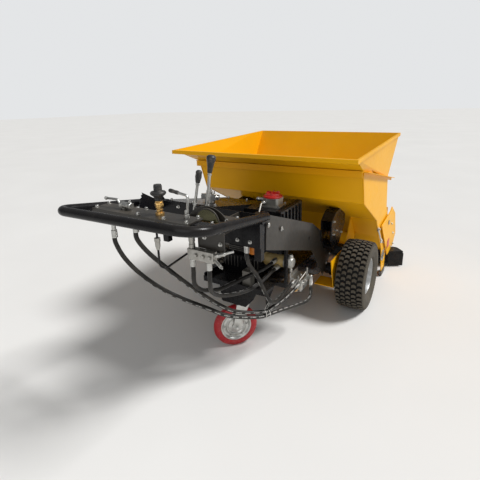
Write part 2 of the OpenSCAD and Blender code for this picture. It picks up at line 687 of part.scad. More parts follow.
// Screed, hung on the two arms
box_top = 150;
arm_outline = [[351, 529], [726, 558], [778, 581], [975, 472], [screed_far_y, 237],
               [984, box_top], [720, box_top], [640, 235], [440, 440]];
module screed_arms() {
    color(YELLOW) place() both_sides() difference() {
        slab_x(arm_x0, arm_x1, arm_outline);
        bar_x(arm_x0 - 1, arm_x1 + 1, screed_pivot, 24.2);
    }
}
module screed_hood() {
    color(YELLOW) place() difference() {
        slab_x(-596, 596, band([[812, box_top], [742, 330], [715, 590]], 5));
        box([-597, 700, 0], [597, 900, box_top]);
    }
}
module screed_box() {
    wall = 8;
    color(BLACK) place() difference() {
        slab_x(-arm_x1, arm_x1, [[800, screed_sole_z + 8], [812, screed_sole_z], [1000, screed_sole_z],
            [1000, 90], [960, box_top], [800, box_top]]);
        for (i = [-2 : 2]) slab_x(-arm_x1 / 5 + 6 + i * 2 * arm_x1 / 5, arm_x1 / 5 - 6 + i * 2 * arm_x1 / 5,
            [[800 + wall, screed_sole_z + 12], [1001, screed_sole_z + 12], [1001, box_top - 2 * wall],
             [950, box_top - wall], [800 + wall, box_top - wall]]);
    }
}
module screed_ends() {
    color(BLACK) place() both_sides() {
        translate([0, 0, screed_sole_z]) linear_extrude(box_top - screed_sole_z)
            polygon([[arm_x1, 812], [735, 873], [672, 945], [arm_x1, 945]]);
        translate([0, 0, 10]) linear_extrude(120) polygon([[arm_x1, 808], [741, 872], [735, 873], [arm_x1, 812]]);
    }
}
module reflectors() {
    color([0.8, 0.05, 0.05]) place() both_sides() box([arm_x1, 655, 232], [arm_x1 + 3, 745, 304]);
}
module depth_adjusters() {
    color(ZINC) place() both_sides() {
        bar_x(side_half_w, side_half_w + 5, [434, 379], 40);
        slab_x(side_half_w, side_half_w + 5, [[442, 386], [428, 372], [270, 518], [284, 532]]);
        bar_x(side_half_w, side_half_w + 6, [276, 526], 36);
    }
}

// Hydraulic hoses: routes through round points, from fitting to fitting
hose_d = 22;
LEFT_ROUTE = [[-262, -1462, 905], [-262, -1462, 860], [-232, -1445, 780], [-190, -1400, 690], [-115, -1350, 608],
    [-30, -1290, 540], [60, -1210, 470], [130, -1140, 410], [190, -1050, 365], [245, -960, 335], [268, -890, 322],
    [290, -790, 300], [326, -640, 265], [346, -520, 240], [349, -455, 258], [347, -455, 310], [347, -455, 345]];
MIDDLE_ROUTE = [[-125, -1452, 950], [-125, -1452, 900], [-92, -1425, 830], [-40, -1380, 752], [10, -1320, 665],
    [58, -1250, 575], [100, -1170, 485], [150, -1100, 420], [204, -1020, 381], [262, -930, 358], [270, -870, 352],
    [290, -760, 352], [305, -660, 364], [305, -595, 366]];
LOOP_ROUTE = [[86, -1323, 775], [86, -1323, 725], [74, -1308, 660], [74, -1272, 612], [88, -1215, 580],
    [110, -1150, 563], [130, -1060, 558], [160, -965, 562], [190, -860, 562], [200, -760, 560], [200, -712, 560]];
DROP_ROUTE = [[180, -1323, 775], [180, -1323, 730], [168, -1308, 670], [150, -1272, 615], [146, -1215, 568],
    [160, -1140, 536], [186, -1050, 516], [206, -960, 510], [215, -860, 514], [215, -760, 520], [215, -706, 520]];
FRONT_ROUTE = [[228, -1067, 775], [228, -1067, 730], [226, -1035, 670], [236, -985, 600], [260, -955, 510],
    [284, -935, 440], [290, -880, 398], [286, -790, 386], [277, -680, 385], [275, -595, 385]];
module hose_left() { color(BLACK) place() hose(LEFT_ROUTE, hose_d); }
module hose_middle() { color(BLACK) place() hose(MIDDLE_ROUTE, hose_d); }
module hose_loop() { color(BLACK) place() hose(LOOP_ROUTE, hose_d); }
module hose_drop() { color(BLACK) place() hose(DROP_ROUTE, hose_d); }
module hose_front() { color(BLACK) place() hose(FRONT_ROUTE, hose_d); }

// A sleeve and a nut from a hose's end to what it screws into
module fitting(from, to) {
    rod(from, to, hose_d + 2);
    rod(between(from, to, 0.55), between(from, to, 0.8), hose_d + 8);
}
module hose_fittings() {
    color(ZINC) place() {
        fitting(LEFT_ROUTE[0], [-262, -1462, flat_z[0]]);
        fitting(MIDDLE_ROUTE[0], [-125, -1452, flat_z[0]]);
        fitting(LOOP_ROUTE[0], [86, -1323, 800]);
        fitting(DROP_ROUTE[0], [180, -1323, 800]);
        fitting(FRONT_ROUTE[0], [228, -1067, 800]);
        fitting(MIDDLE_ROUTE[13], [305, -560, 366]);
        fitting(FRONT_ROUTE[9], [275, -560, 385]);
        fitting(LEFT_ROUTE[16], [347, -455, 380]);
        bar_x(valve_x[1], 360, [-455, 386], 20);
        difference() {
            for (end = [LOOP_ROUTE[10], DROP_ROUTE[10]]) fitting(end, [end[0], pump_at[0], end[2]]);
            bar_x(110, 250, pump_at, pump_d);
        }
    }
}

// Pump body beside the cream barrel, and bent steel pipes on the deck and under the console
pipe_d = 10;
module steel_pipes() {
    color(ZINC) place() {
        bar_x(250, 262, pump_at, 88);
        translate([262, pump_at[0], pump_at[1]]) rotate([0, 90, 0]) cylinder(d1 = 84, d2 = 56, h = 40);
        translate([283, pump_at[0], pump_at[1] + 20]) cylinder(d = 30, h = 34);
        translate([283, pump_at[0], pump_at[1] - 60]) cylinder(d = 22, h = 40);
        bent_bar([[136, -722, tank_top + 30], [136, -738, tank_top + 30], [146, -790, 872], [170, -800, rail_top(-800) + 11]],
                 [5, 16], pipe_d, [1, 0, 0], 10);
        bent_bar([[0, -1450, flat_z[0]], [0, -1450, 760], [65, -1332, 820]], [30], pipe_d, [1, -1, 0], 10);
        rod([0, -1450, flat_z[0]], [0, -1450, 950], 26);
    }
}

tyre_left();
tyre_right();
rim_left();
rim_right();
wheel_motors();
wheel_plates();
hopper_near_wall();
hopper_far_wall();
hopper_extension();
hopper_ledge();
side_plate_left();
side_plate_right();
skid_shoes();
pivot_pins();
main_frame();
side_cover_left();
side_cover_right();
deck_plate();
hopper_brackets();
belly_tray();
engine_block();
hydraulic_tank();
filter_head();
filter_cap();
charge_pump();
solenoid_block();
hose_bracket();
handlebar();
console();
lever_quadrant();
lever_rods();
lever_knobs();
regulator();
clamp_levers();
toothed_sector();
valve_manifold();
valve_cluster();
caster_post();
caster_fork();
caster_tyre();
caster_rim();
auger_shaft();
auger_flights();
auger_bearings();
screed_arms();
screed_hood();
screed_box();
screed_ends();
reflectors();
depth_adjusters();
hose_left();
hose_middle();
hose_loop();
hose_drop();
hose_front();
hose_fittings();
steel_pipes();
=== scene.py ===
"""Looks of a small walk-behind asphalt paver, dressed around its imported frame.

Each sub-assembly is a class that holds its sizes and builds its own meshes, and each finish is a
frozen dataclass that makes one procedural material. Metres, +Z up, +X to the right seen from the
operator, +Y from the operator towards the screed. Heights and widths are as on the machine, and
lengths along the machine are given from the drive axle, as a fitter would measure them.
"""

import json
import logging
import math
from dataclasses import dataclass
from enum import Enum
from typing import Iterable, Sequence

import bmesh
import bpy
from mathutils import Matrix, Vector


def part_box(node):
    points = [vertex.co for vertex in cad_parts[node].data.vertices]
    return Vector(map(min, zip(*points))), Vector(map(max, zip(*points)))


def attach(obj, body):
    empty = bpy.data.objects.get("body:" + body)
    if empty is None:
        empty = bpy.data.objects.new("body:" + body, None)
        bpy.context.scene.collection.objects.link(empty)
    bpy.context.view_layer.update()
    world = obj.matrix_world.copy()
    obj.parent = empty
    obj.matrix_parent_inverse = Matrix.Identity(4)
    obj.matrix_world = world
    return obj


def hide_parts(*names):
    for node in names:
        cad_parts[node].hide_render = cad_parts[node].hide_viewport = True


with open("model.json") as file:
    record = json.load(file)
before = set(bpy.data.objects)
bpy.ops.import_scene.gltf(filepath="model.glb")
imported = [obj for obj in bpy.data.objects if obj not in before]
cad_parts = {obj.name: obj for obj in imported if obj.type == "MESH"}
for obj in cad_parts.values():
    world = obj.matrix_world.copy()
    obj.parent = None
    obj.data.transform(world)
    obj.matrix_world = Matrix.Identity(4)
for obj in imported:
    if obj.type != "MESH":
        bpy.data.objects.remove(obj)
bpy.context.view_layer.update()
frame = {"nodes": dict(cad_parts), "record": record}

LOG = logging.getLogger("paver")
COIL_PARTS = 12
BALL_SIDES = 24
AUGER_AT = (0.560, 0.205)
AXLE_Y = (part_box("rim_right")[0].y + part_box("rim_right")[1].y) / 2
AXLE_Z = (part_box("rim_right")[0].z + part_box("rim_right")[1].z) / 2
X, Y, Z = Vector((1, 0, 0)), Vector((0, 1, 0)), Vector((0, 0, 1))
Colour = tuple[float, float, float]
Point2 = tuple[float, float]
Point3 = tuple[float, float, float]
Feed = bpy.types.NodeSocket | float | Colour


def at_axle(x: float, y: float, z: float) -> Vector:
    """Turns a place measured from the drive axle into the row frame.

    Args:
        x: Place across the machine.
        y: Place along the machine, from the drive axle.
        z: Height above the ground.

    Returns:
        The same place in the row frame.
    """
    return Vector((x, y + AXLE_Y, z))


class Body(Enum):
    """The bodies that the pieces ride on."""

    CHASSIS = "chassis"
    WHEEL_LEFT = "wheel_left"
    WHEEL_RIGHT = "wheel_right"
    CASTER_YOKE = "caster_yoke"
    CASTER_WHEEL = "caster_wheel"
    AUGER = "auger"
    SCREED = "screed"


class Slot(Enum):
    """The record's material slots."""

    YELLOW_PAINT = "yellow_paint"
    BLACK_PAINT = "black_paint"
    TYRE = "tyre"
    RIM_SILVER = "rim_silver"
    ZINC = "zinc"
    CAST_ALUMINIUM = "cast_aluminium"
    RED_PLASTIC = "red_plastic"
    CREAM_PAINT = "cream_paint"
    BLACK_PLASTIC = "black_plastic"
    BRASS = "brass"
    RED_TREAD = "red_tread"
    RED_LENS = "red_lens"
    WORN_STEEL = "worn_steel"
    HOSE_RUBBER = "hose_rubber"


class Graph:
    """A material's node tree, with short calls for the nodes that the finishes share."""

    def __init__(self, name: str) -> None:
        """Makes an empty material.

        Args:
            name: The material's name.
        """
        self.material = bpy.data.materials.new(name)
        self.material.use_nodes = True
        self.nodes = self.material.node_tree.nodes
        self.links = self.material.node_tree.links
        self.shader = self.nodes["Principled BSDF"]

    def node(self, kind: str, inputs: dict[str | int, Feed] | None = None,
             **settings: str | int) -> bpy.types.Node:
        """Adds a node.

        Args:
            kind: The node's type name.
            inputs: Values or sockets by input name or number.
            **settings: The node's own settings.

        Returns:
            The node.
        """
        made = self.nodes.new(kind)
        for key, value in settings.items():
            setattr(made, key, value)
        for key, value in (inputs or {}).items():
            self.feed(made.inputs[key], value)
        return made

    def feed(self, socket: bpy.types.NodeSocket, value: Feed) -> None:
        """Links a socket, or sets its own value.

        Args:
            socket: The input.
            value: An output socket, a number or a colour.
        """
        if isinstance(value, bpy.types.NodeSocket):
            self.links.new(value, socket)
        elif isinstance(value, tuple) and len(value) == 3 and socket.type == "RGBA":
            socket.default_value = (*value, 1.0)
        else:
            socket.default_value = value

    def place(self, stretch: Point3 = (1.0, 1.0, 1.0)) -> bpy.types.NodeSocket:
        """Gives the place on the piece, stretched along its axes."""
        coords = self.node("ShaderNodeTexCoord").outputs["Object"]
        if stretch == (1.0, 1.0, 1.0):
            return coords
        return self.node("ShaderNodeMapping", {"Vector": coords, "Scale": stretch}).outputs[0]

    def noise(self, place: Feed, scale: float, detail: float = 4.0,
              rough: float = 0.55) -> bpy.types.NodeSocket:
        """Gives cloud noise from 0 to 1 at a place, with scale cells to the metre."""
        made = self.node("ShaderNodeTexNoise", {"Vector": place, "Scale": scale, "Detail": detail,
                                                "Roughness": rough})
        return made.outputs["Fac"]

    def attribute(self, name: str) -> bpy.types.NodeSocket:
        """Reads a number that the mesh carries."""
        return self.node("ShaderNodeAttribute", attribute_name=name).outputs["Fac"]

    def span(self, value: Feed, low: float, high: float, to_low: float = 0.0,
             to_high: float = 1.0) -> bpy.types.NodeSocket:
        """Maps a value from one range to another, clamped."""
        made = self.node("ShaderNodeMapRange", {"Value": value, "From Min": low, "From Max": high,
                                                "To Min": to_low, "To Max": to_high})
        return made.outputs[0]

    def sum(self, operation: str, first: Feed, second: Feed = 0.5) -> bpy.types.NodeSocket:
        """Gives a Math node's result for one or two values."""
        return self.node("ShaderNodeMath", {0: first, 1: second}, operation=operation).outputs[0]

    def mix(self, share: Feed, first: Feed, second: Feed) -> bpy.types.NodeSocket:
        """Mixes two colours.

        Args:
            share: Share of the second, from 0 to 1.
            first: The first colour.
            second: The second colour.

        Returns:
            The mixed colour.
        """
        made = self.node("ShaderNodeMix", data_type="RGBA")
        self.feed(made.inputs["Factor"], share)
        self.feed(made.inputs[6], first)
        self.feed(made.inputs[7], second)
        return made.outputs[2]

    def upward(self, low: float, high: float) -> bpy.types.NodeSocket:
        """Gives how far a face looks up, from 0 at low to 1 at high."""
        normal = self.node("ShaderNodeTexCoord").outputs["Normal"]
        height = self.node("ShaderNodeSeparateXYZ", {0: normal}).outputs["Z"]
        return self.span(height, low, high)

    def edges(self, radius: float) -> bpy.types.NodeSocket:
        """Finds hard edges by how far a rounded normal leaves the flat one.

        Args:
            radius: How far from the edge it is felt, in metres.

        Returns:
            1 close to an edge and 0 away from it.
        """
        rounded = self.node("ShaderNodeBevel", {"Radius": radius}, samples=4).outputs[0]
        flat = self.node("ShaderNodeNewGeometry").outputs["Normal"]
        dot = self.node("ShaderNodeVectorMath", {0: rounded, 1: flat},
                        operation="DOT_PRODUCT").outputs["Value"]
        return self.span(dot, 0.995, 0.86)

    def bump(self, height: Feed, distance: float, strength: float = 1.0, rounding: float = 0.0) -> None:
        """Bumps the surface by a height.

        Args:
            height: The height, from 0 to 1.
            distance: Depth of a full height, in metres.
            strength: Share of the bump.
            rounding: Radius by which hard edges look rounded, in metres, or 0.
        """
        made = self.node("ShaderNodeBump", {"Height": height, "Distance": distance, "Strength": strength})
        if rounding:
            self.feed(made.inputs["Normal"], self.node("ShaderNodeBevel", {"Radius": rounding},
                                                       samples=4).outputs[0])
        self.feed(self.shader.inputs["Normal"], made.outputs[0])

    def set(self, **values: Feed) -> None:
        """Feeds the shader's own sockets, by name with underscores for spaces."""
        for key, value in values.items():
            self.feed(self.shader.inputs[key.replace("_", " ")], value)


@dataclass(frozen=True)
class Finish:
    """A finish that becomes one material, made once and shared."""

    name: str
    slot: Slot

    def dress(self, graph: Graph) -> None:
        """Fills in the material's nodes."""
        raise NotImplementedError

    def material(self) -> bpy.types.Material:
        """Gives the finish's material, made on first use."""
        found = bpy.data.materials.get(self.name)
        if found:
            return found
        graph = Graph(self.name)
        self.dress(graph)
        return graph.material


@dataclass(frozen=True)
class Paint(Finish):
    """Sprayed enamel on steel, with orange peel, scuffs, worn edges and a film of dust."""

    colour: Colour
    shade: Colour
    roughness: float = 0.3
    coat: float = 0.4
    dust: float = 0.25
    dust_colour: Colour = (0.36, 0.31, 0.25)
    wear: float = 0.35
    primer: Colour = (0.16, 0.15, 0.14)
    rounding: float = 0.0012
    gloss: float = 0.5
    scuff: float = 0.16

    def dress(self, graph: Graph) -> None:
        """Fills in the material's nodes."""
        place = graph.place()
        drift = graph.span(graph.noise(place, 2.3, 6.0), 0.36, 0.66)
        film = graph.mix(drift, self.colour, self.shade)
        cloud = graph.span(graph.noise(place, 7.0, 8.0, 0.65), 0.42, 0.78)
        settled = graph.sum("MULTIPLY", cloud, graph.upward(-0.1, 0.9))
        low_down = graph.span(graph.node("ShaderNodeSeparateXYZ", {0: place}).outputs["Z"], 0.42, 0.02)
        splash = graph.sum("MULTIPLY", low_down, graph.span(graph.noise(place, 21.0, 7.0, 0.7), 0.4, 0.72))
        dusty = graph.sum("MULTIPLY", graph.sum("MAXIMUM", settled, splash), self.dust)
        powdered = graph.mix(dusty, film, self.dust_colour)
        streak = graph.noise(graph.place((14.0, 3.0, 60.0)), 1.4, 9.0, 0.75)
        scuffed = graph.sum("MULTIPLY", graph.span(streak, 0.63, 0.72), self.scuff)
        rubbed = graph.mix(scuffed, powdered, self.dust_colour)
        ragged = graph.span(graph.noise(place, 60.0, 6.0, 0.7), 0.5, 0.62)
        chipped = graph.sum("MULTIPLY", graph.edges(self.rounding * 1.6), ragged)
        bare = graph.sum("MULTIPLY", chipped, self.wear)
        graph.set(Base_Color=graph.mix(bare, rubbed, self.primer), Coat_Weight=self.coat,
                  Coat_Roughness=0.08, Specular_IOR_Level=self.gloss,
                  Roughness=graph.sum("ADD", graph.sum("MULTIPLY", dusty, 0.9),
                                      graph.span(graph.noise(place, 34.0, 4.0), 0.3, 0.7,
                                                 self.roughness - 0.05, self.roughness + 0.07)))
        peel = graph.noise(place, 420.0, 2.0)
        wave = graph.noise(place, 5.0, 2.0)
        graph.bump(graph.sum("ADD", graph.sum("MULTIPLY", peel, 0.06), wave), 0.0009, 0.3, self.rounding)


@dataclass(frozen=True)
class Rubber(Finish):
    """Tyre rubber, matt, with pale dust in its pores and on what it rolls over, and painted shade on the
    groove floors.
    """

    colour: Colour
    dust_colour: Colour
    # Painted shade: near-black colour for the groove floors, darker than the rubber itself.
    groove_painted_shade: Colour = (0.006, 0.0055, 0.005)
    dust: float = 0.5
    roughness: float = 0.75
    grain: float = 300.0

    def dress(self, graph: Graph) -> None:
        """Fills in the material's nodes."""
        place = graph.place()
        cloud = graph.span(graph.noise(place, 12.0, 9.0, 0.7), 0.36, 0.7)
        speck = graph.span(graph.noise(place, 150.0, 5.0, 0.7), 0.42, 0.66)
        proud = graph.span(graph.attribute("proud"), 0.45, 0.8)
        film = graph.sum("MAXIMUM", graph.span(cloud, 0.0, 1.0, 0.45, 1.0), graph.sum("MULTIPLY", speck, 0.6))
        dusty = graph.sum("MULTIPLY", graph.sum("MULTIPLY", film, proud), self.dust)
        # Painted shade: the groove floors (proud 0) take the near-black groove colour, and the blocks take
        # the rubber's colour.
        body = graph.mix(proud, self.groove_painted_shade, self.colour)
        graph.set(Base_Color=graph.mix(dusty, body, self.dust_colour), Specular_IOR_Level=0.25,
                  Roughness=graph.span(dusty, 0.0, 1.0, self.roughness - 0.12, self.roughness + 0.15))
        graph.bump(graph.sum("ADD", graph.noise(place, self.grain, 3.0), graph.noise(place, 40.0, 4.0)),
                   0.0011, 0.5, 0.0008)


@dataclass(frozen=True)
class HoseCover(Finish):
    """Smooth hose cover with wrapping marks round it and a worn pale layline along it."""

    colour: Colour
    dust_colour: Colour
    line_colour: Colour
    wrap_m: float = 0.006
    dash_m: float = 0.055

    def dress(self, graph: Graph) -> None:
        """Fills in the material's nodes."""
        place = graph.place()
        along = graph.attribute("along")
        around = graph.attribute("around")
        cloud = graph.span(graph.noise(place, 16.0, 8.0, 0.7), 0.42, 0.75)
        dusty = graph.mix(graph.sum("MULTIPLY", cloud, 0.22), self.colour, self.dust_colour)
        turned = graph.sum("PINGPONG", graph.sum("ADD", around, graph.sum("MULTIPLY", along, 0.35)), 0.25)
        stripe = graph.span(turned, 0.055, 0.035)
        beat = graph.sum("FRACT", graph.sum("DIVIDE", along, self.dash_m))
        dash = graph.sum("MULTIPLY", graph.span(beat, 0.3, 0.34), graph.span(beat, 0.98, 0.94))
        broken = graph.span(graph.noise(place, 200.0, 3.0, 0.7), 0.4, 0.5)
        mark = graph.sum("MULTIPLY", graph.sum("MULTIPLY", stripe, dash), broken)
        graph.set(Base_Color=graph.mix(graph.sum("MULTIPLY", mark, 0.45), dusty, self.line_colour),
                  Specular_IOR_Level=0.25, Roughness=graph.span(cloud, 0.0, 1.0, 0.38, 0.62))
        wrap = graph.sum("PINGPONG", along, self.wrap_m / 2)
        height = graph.sum("ADD", graph.sum("MULTIPLY", wrap, 60.0), graph.noise(place, 240.0, 2.0))
        graph.bump(height, 0.0004, 0.5)


@dataclass(frozen=True)
class Metal(Finish):
    """Bare, plated or cast metal, with tarnish in its hollows."""

    colour: Colour
    tarnish: Colour
    roughness: float = 0.35
    grain: float = 90.0
    depth: float = 0.0004
    tarnish_share: float = 0.5
    rounding: float = 0.0006
    metallic: float = 1.0

    def dress(self, graph: Graph) -> None:
        """Fills in the material's nodes."""
        place = graph.place()
        cloud = graph.span(graph.noise(place, 26.0, 7.0, 0.65), 0.38, 0.7)
        spots = graph.span(graph.noise(place, 120.0, 4.0, 0.6), 0.55, 0.75)
        dull = graph.sum("MULTIPLY", graph.sum("MAXIMUM", cloud, spots), self.tarnish_share)
        grain = graph.noise(place, self.grain, 5.0, 0.6)
        graph.set(Base_Color=graph.mix(dull, self.colour, self.tarnish), Metallic=self.metallic,
                  Roughness=graph.sum("ADD", graph.sum("MULTIPLY", dull, 0.2),
                                      graph.span(grain, 0.3, 0.7, self.roughness - 0.06,
                                                 self.roughness + 0.1)))
        graph.bump(grain, self.depth, 0.7, self.rounding)


@dataclass(frozen=True)
class Plastic(Finish):
    """Moulded plastic or polyurethane, with a spark-eroded grain and rubbed dust."""

    colour: Colour
    shade: Colour
    roughness: float = 0.42
    grain: float = 500.0
    depth: float = 0.0002
    scatter: float = 0.0
    dust_colour: Colour = (0.42, 0.36, 0.3)
    dust: float = 0.25

    def dress(self, graph: Graph) -> None:
        """Fills in the material's nodes."""
        place = graph.place()
        drift = graph.span(graph.noise(place, 18.0, 6.0), 0.35, 0.68)
        cloud = graph.sum("MULTIPLY", graph.span(graph.noise(place, 44.0, 8.0, 0.7), 0.5, 0.75), self.dust)
        body = graph.mix(drift, self.colour, self.shade)
        graph.set(Base_Color=graph.mix(cloud, body, self.dust_colour), Subsurface_Weight=self.scatter,
                  Subsurface_Scale=0.01,
                  Roughness=graph.sum("ADD", graph.sum("MULTIPLY", cloud, 0.5),
                                      graph.span(drift, 0.0, 1.0, self.roughness - 0.05,
                                                 self.roughness + 0.06)))
        graph.bump(graph.noise(place, self.grain, 2.0), self.depth, 0.6, 0.0006)


YELLOW = Paint("yellow enamel", Slot.YELLOW_PAINT, (0.86, 0.425, 0.003), (0.8, 0.385, 0.002), 0.4, 0.03, 0.06,
               gloss=0.14)
BLACK = Paint("black enamel", Slot.BLACK_PAINT, (0.006, 0.006, 0.0075), (0.010, 0.009, 0.009),
              0.26, 0.04, 0.05, primer=(0.05, 0.047, 0.045), gloss=0.17, scuff=0.025)
# Lighter brown-grey black for the covers, lever quadrant and console: partly real dust, partly a painted
# reflection of the pale ground in their glossy paint.
COVER_BLACK_DUST_AND_REFLECTION = Paint("black enamel with dust and painted reflection", Slot.BLACK_PAINT, (0.026, 0.023, 0.019), (0.034, 0.03, 0.025),
                    0.34, 0.1, 0.2, primer=(0.1, 0.09, 0.08), gloss=0.3, scuff=0.06)
CREAM = Paint("cream enamel", Slot.CREAM_PAINT, (0.6, 0.44, 0.18), (0.5, 0.35, 0.12), 0.35, 0.3, 0.4)
SILVER = Metal("silver rim enamel", Slot.RIM_SILVER, (0.5, 0.51, 0.51), (0.3, 0.29, 0.27),
               0.36, 420.0, 0.0002, metallic=0.75)
GREY = Paint("grey enamel", Slot.BLACK_PAINT, (0.09, 0.085, 0.078), (0.13, 0.12, 0.1), 0.4, 0.1, 0.4)
TREAD = Rubber("turf tyre rubber", Slot.TYRE, (0.03, 0.027, 0.022), (0.14, 0.12, 0.09), dust=0.7)
HOSE = HoseCover("hydraulic hose cover", Slot.HOSE_RUBBER, (0.014, 0.013, 0.012), (0.16, 0.14, 0.11),
                 (0.75, 0.74, 0.7))
ZINC = Metal("zinc plate", Slot.ZINC, (0.56, 0.56, 0.54), (0.3, 0.28, 0.24), 0.3)
CAST = Metal("cast aluminium", Slot.CAST_ALUMINIUM, (0.46, 0.45, 0.42), (0.24, 0.22, 0.19),
             0.46, 380.0, 0.0006)
BRASS = Metal("turned brass", Slot.BRASS, (0.78, 0.5, 0.18), (0.42, 0.24, 0.09), 0.28)
OLIVE = Metal("olive passivated plate", Slot.ZINC, (0.07, 0.066, 0.03), (0.04, 0.038, 0.02),
              0.2, 60.0, 0.0003, metallic=0.6)
WORN = Metal("worn steel", Slot.WORN_STEEL, (0.17, 0.16, 0.15), (0.07, 0.06, 0.05), 0.42, 60.0, 0.0008, 0.7)
RED_CAP = Plastic("red moulded cap", Slot.RED_PLASTIC, (0.62, 0.02, 0.015), (0.5, 0.012, 0.01), 0.36)
ORANGE = Plastic("orange moulding", Slot.RED_PLASTIC, (0.62, 0.2, 0.02), (0.5, 0.14, 0.012), 0.4)
RED_TREAD = Plastic("red polyurethane", Slot.RED_TREAD, (0.42, 0.004, 0.01), (0.34, 0.003, 0.008), 0.4, 240.0,
                    0.0003, 0.05, dust=0.25)
BLACK_KNOB = Plastic("black moulding", Slot.BLACK_PLASTIC, (0.016, 0.016, 0.017), (0.028, 0.027, 0.026), 0.42)
WHITE_TIE = Plastic("white nylon", Slot.BLACK_PLASTIC, (0.75, 0.74, 0.7), (0.6, 0.58, 0.52), 0.4)
LENS = Plastic("red reflector", Slot.RED_LENS, (0.6, 0.006, 0.003), (0.5, 0.005, 0.002), 0.3)

BY_SLOT = {finish.slot: finish for finish in (
    YELLOW, BLACK, CREAM, SILVER, TREAD, HOSE, ZINC, CAST, BRASS, WORN, RED_CAP, RED_TREAD, BLACK_KNOB, LENS)}

# These pieces carry the painted ground reflection as well as dust.
BY_NODE = {name: COVER_BLACK_DUST_AND_REFLECTION for name in ("side_cover_left", "side_cover_right", "lever_quadrant", "console")}


def ring(centre: Vector, across: Vector, up: Vector, radius: float, sides: int,
         turn: float = 0.0) -> list[Vector]:
    """Gives points round a circle.

    Args:
        centre: Its centre.
        across: Unit direction of its first point.
        up: Unit direction of its second quarter.
        radius: Its radius.
        sides: How many points.
        turn: Angle of the first point, in parts of one side.

    Returns:
        The points.
    """
    angles = (math.tau * (k + turn) / sides for k in range(sides))
    return [centre + (across * math.cos(a) + up * math.sin(a)) * radius for a in angles]


def bent_path(points: Sequence[Vector], radii: Sequence[float], parts: int = 10) -> list[Vector]:
    """Rounds the inner corners of a path, as a tube bender does.

    Args:
        points: The path's corners and ends.
        radii: Radius of each inner corner.
        parts: Stretches in each bend.

    Returns:
        The rounded path.
    """
    path = [points[0]]
    for before, corner, after, radius in zip(points, points[1:], points[2:], radii):
        run, on = (corner - before).normalized(), (after - corner).normalized()
        angle = run.angle(on)
        inward = (on - run * run.dot(on)).normalized()
        centre = corner - run * (radius * math.tan(angle / 2)) + inward * radius
        for k in range(parts + 1):
            part = angle * k / parts
            path.append(centre + (run * math.sin(part) - inward * math.cos(part)) * radius)
    return path + [points[-1]]


def eased_path(points: Sequence[Vector], parts: int) -> list[Vector]:
    """Draws a smooth curve through points.

    Args:
        points: What it runs through.
        parts: Stretches from one point to the next.

    Returns:
        The curve's points.
    """
    last = len(points) - 1
    path = []
    for i in range(last):
        a, b, c, d = (points[max(0, min(last, i + k))] for k in (-1, 0, 1, 2))
        for k in range(parts):
            t = k / parts
            path.append((2 * b + (c - a) * t + (2 * a - 5 * b + 4 * c - d) * t ** 2
                         + (3 * b - a - 3 * c + d) * t ** 3) / 2)
    return path + [points[last]]


def sorted_box(a: Point3, b: Point3) -> tuple[Point3, Point3]:
    """Gives a box's low and high corner from any two that face each other."""
    return tuple(min(p, q) for p, q in zip(a, b)), tuple(max(p, q) for p, q in zip(a, b))


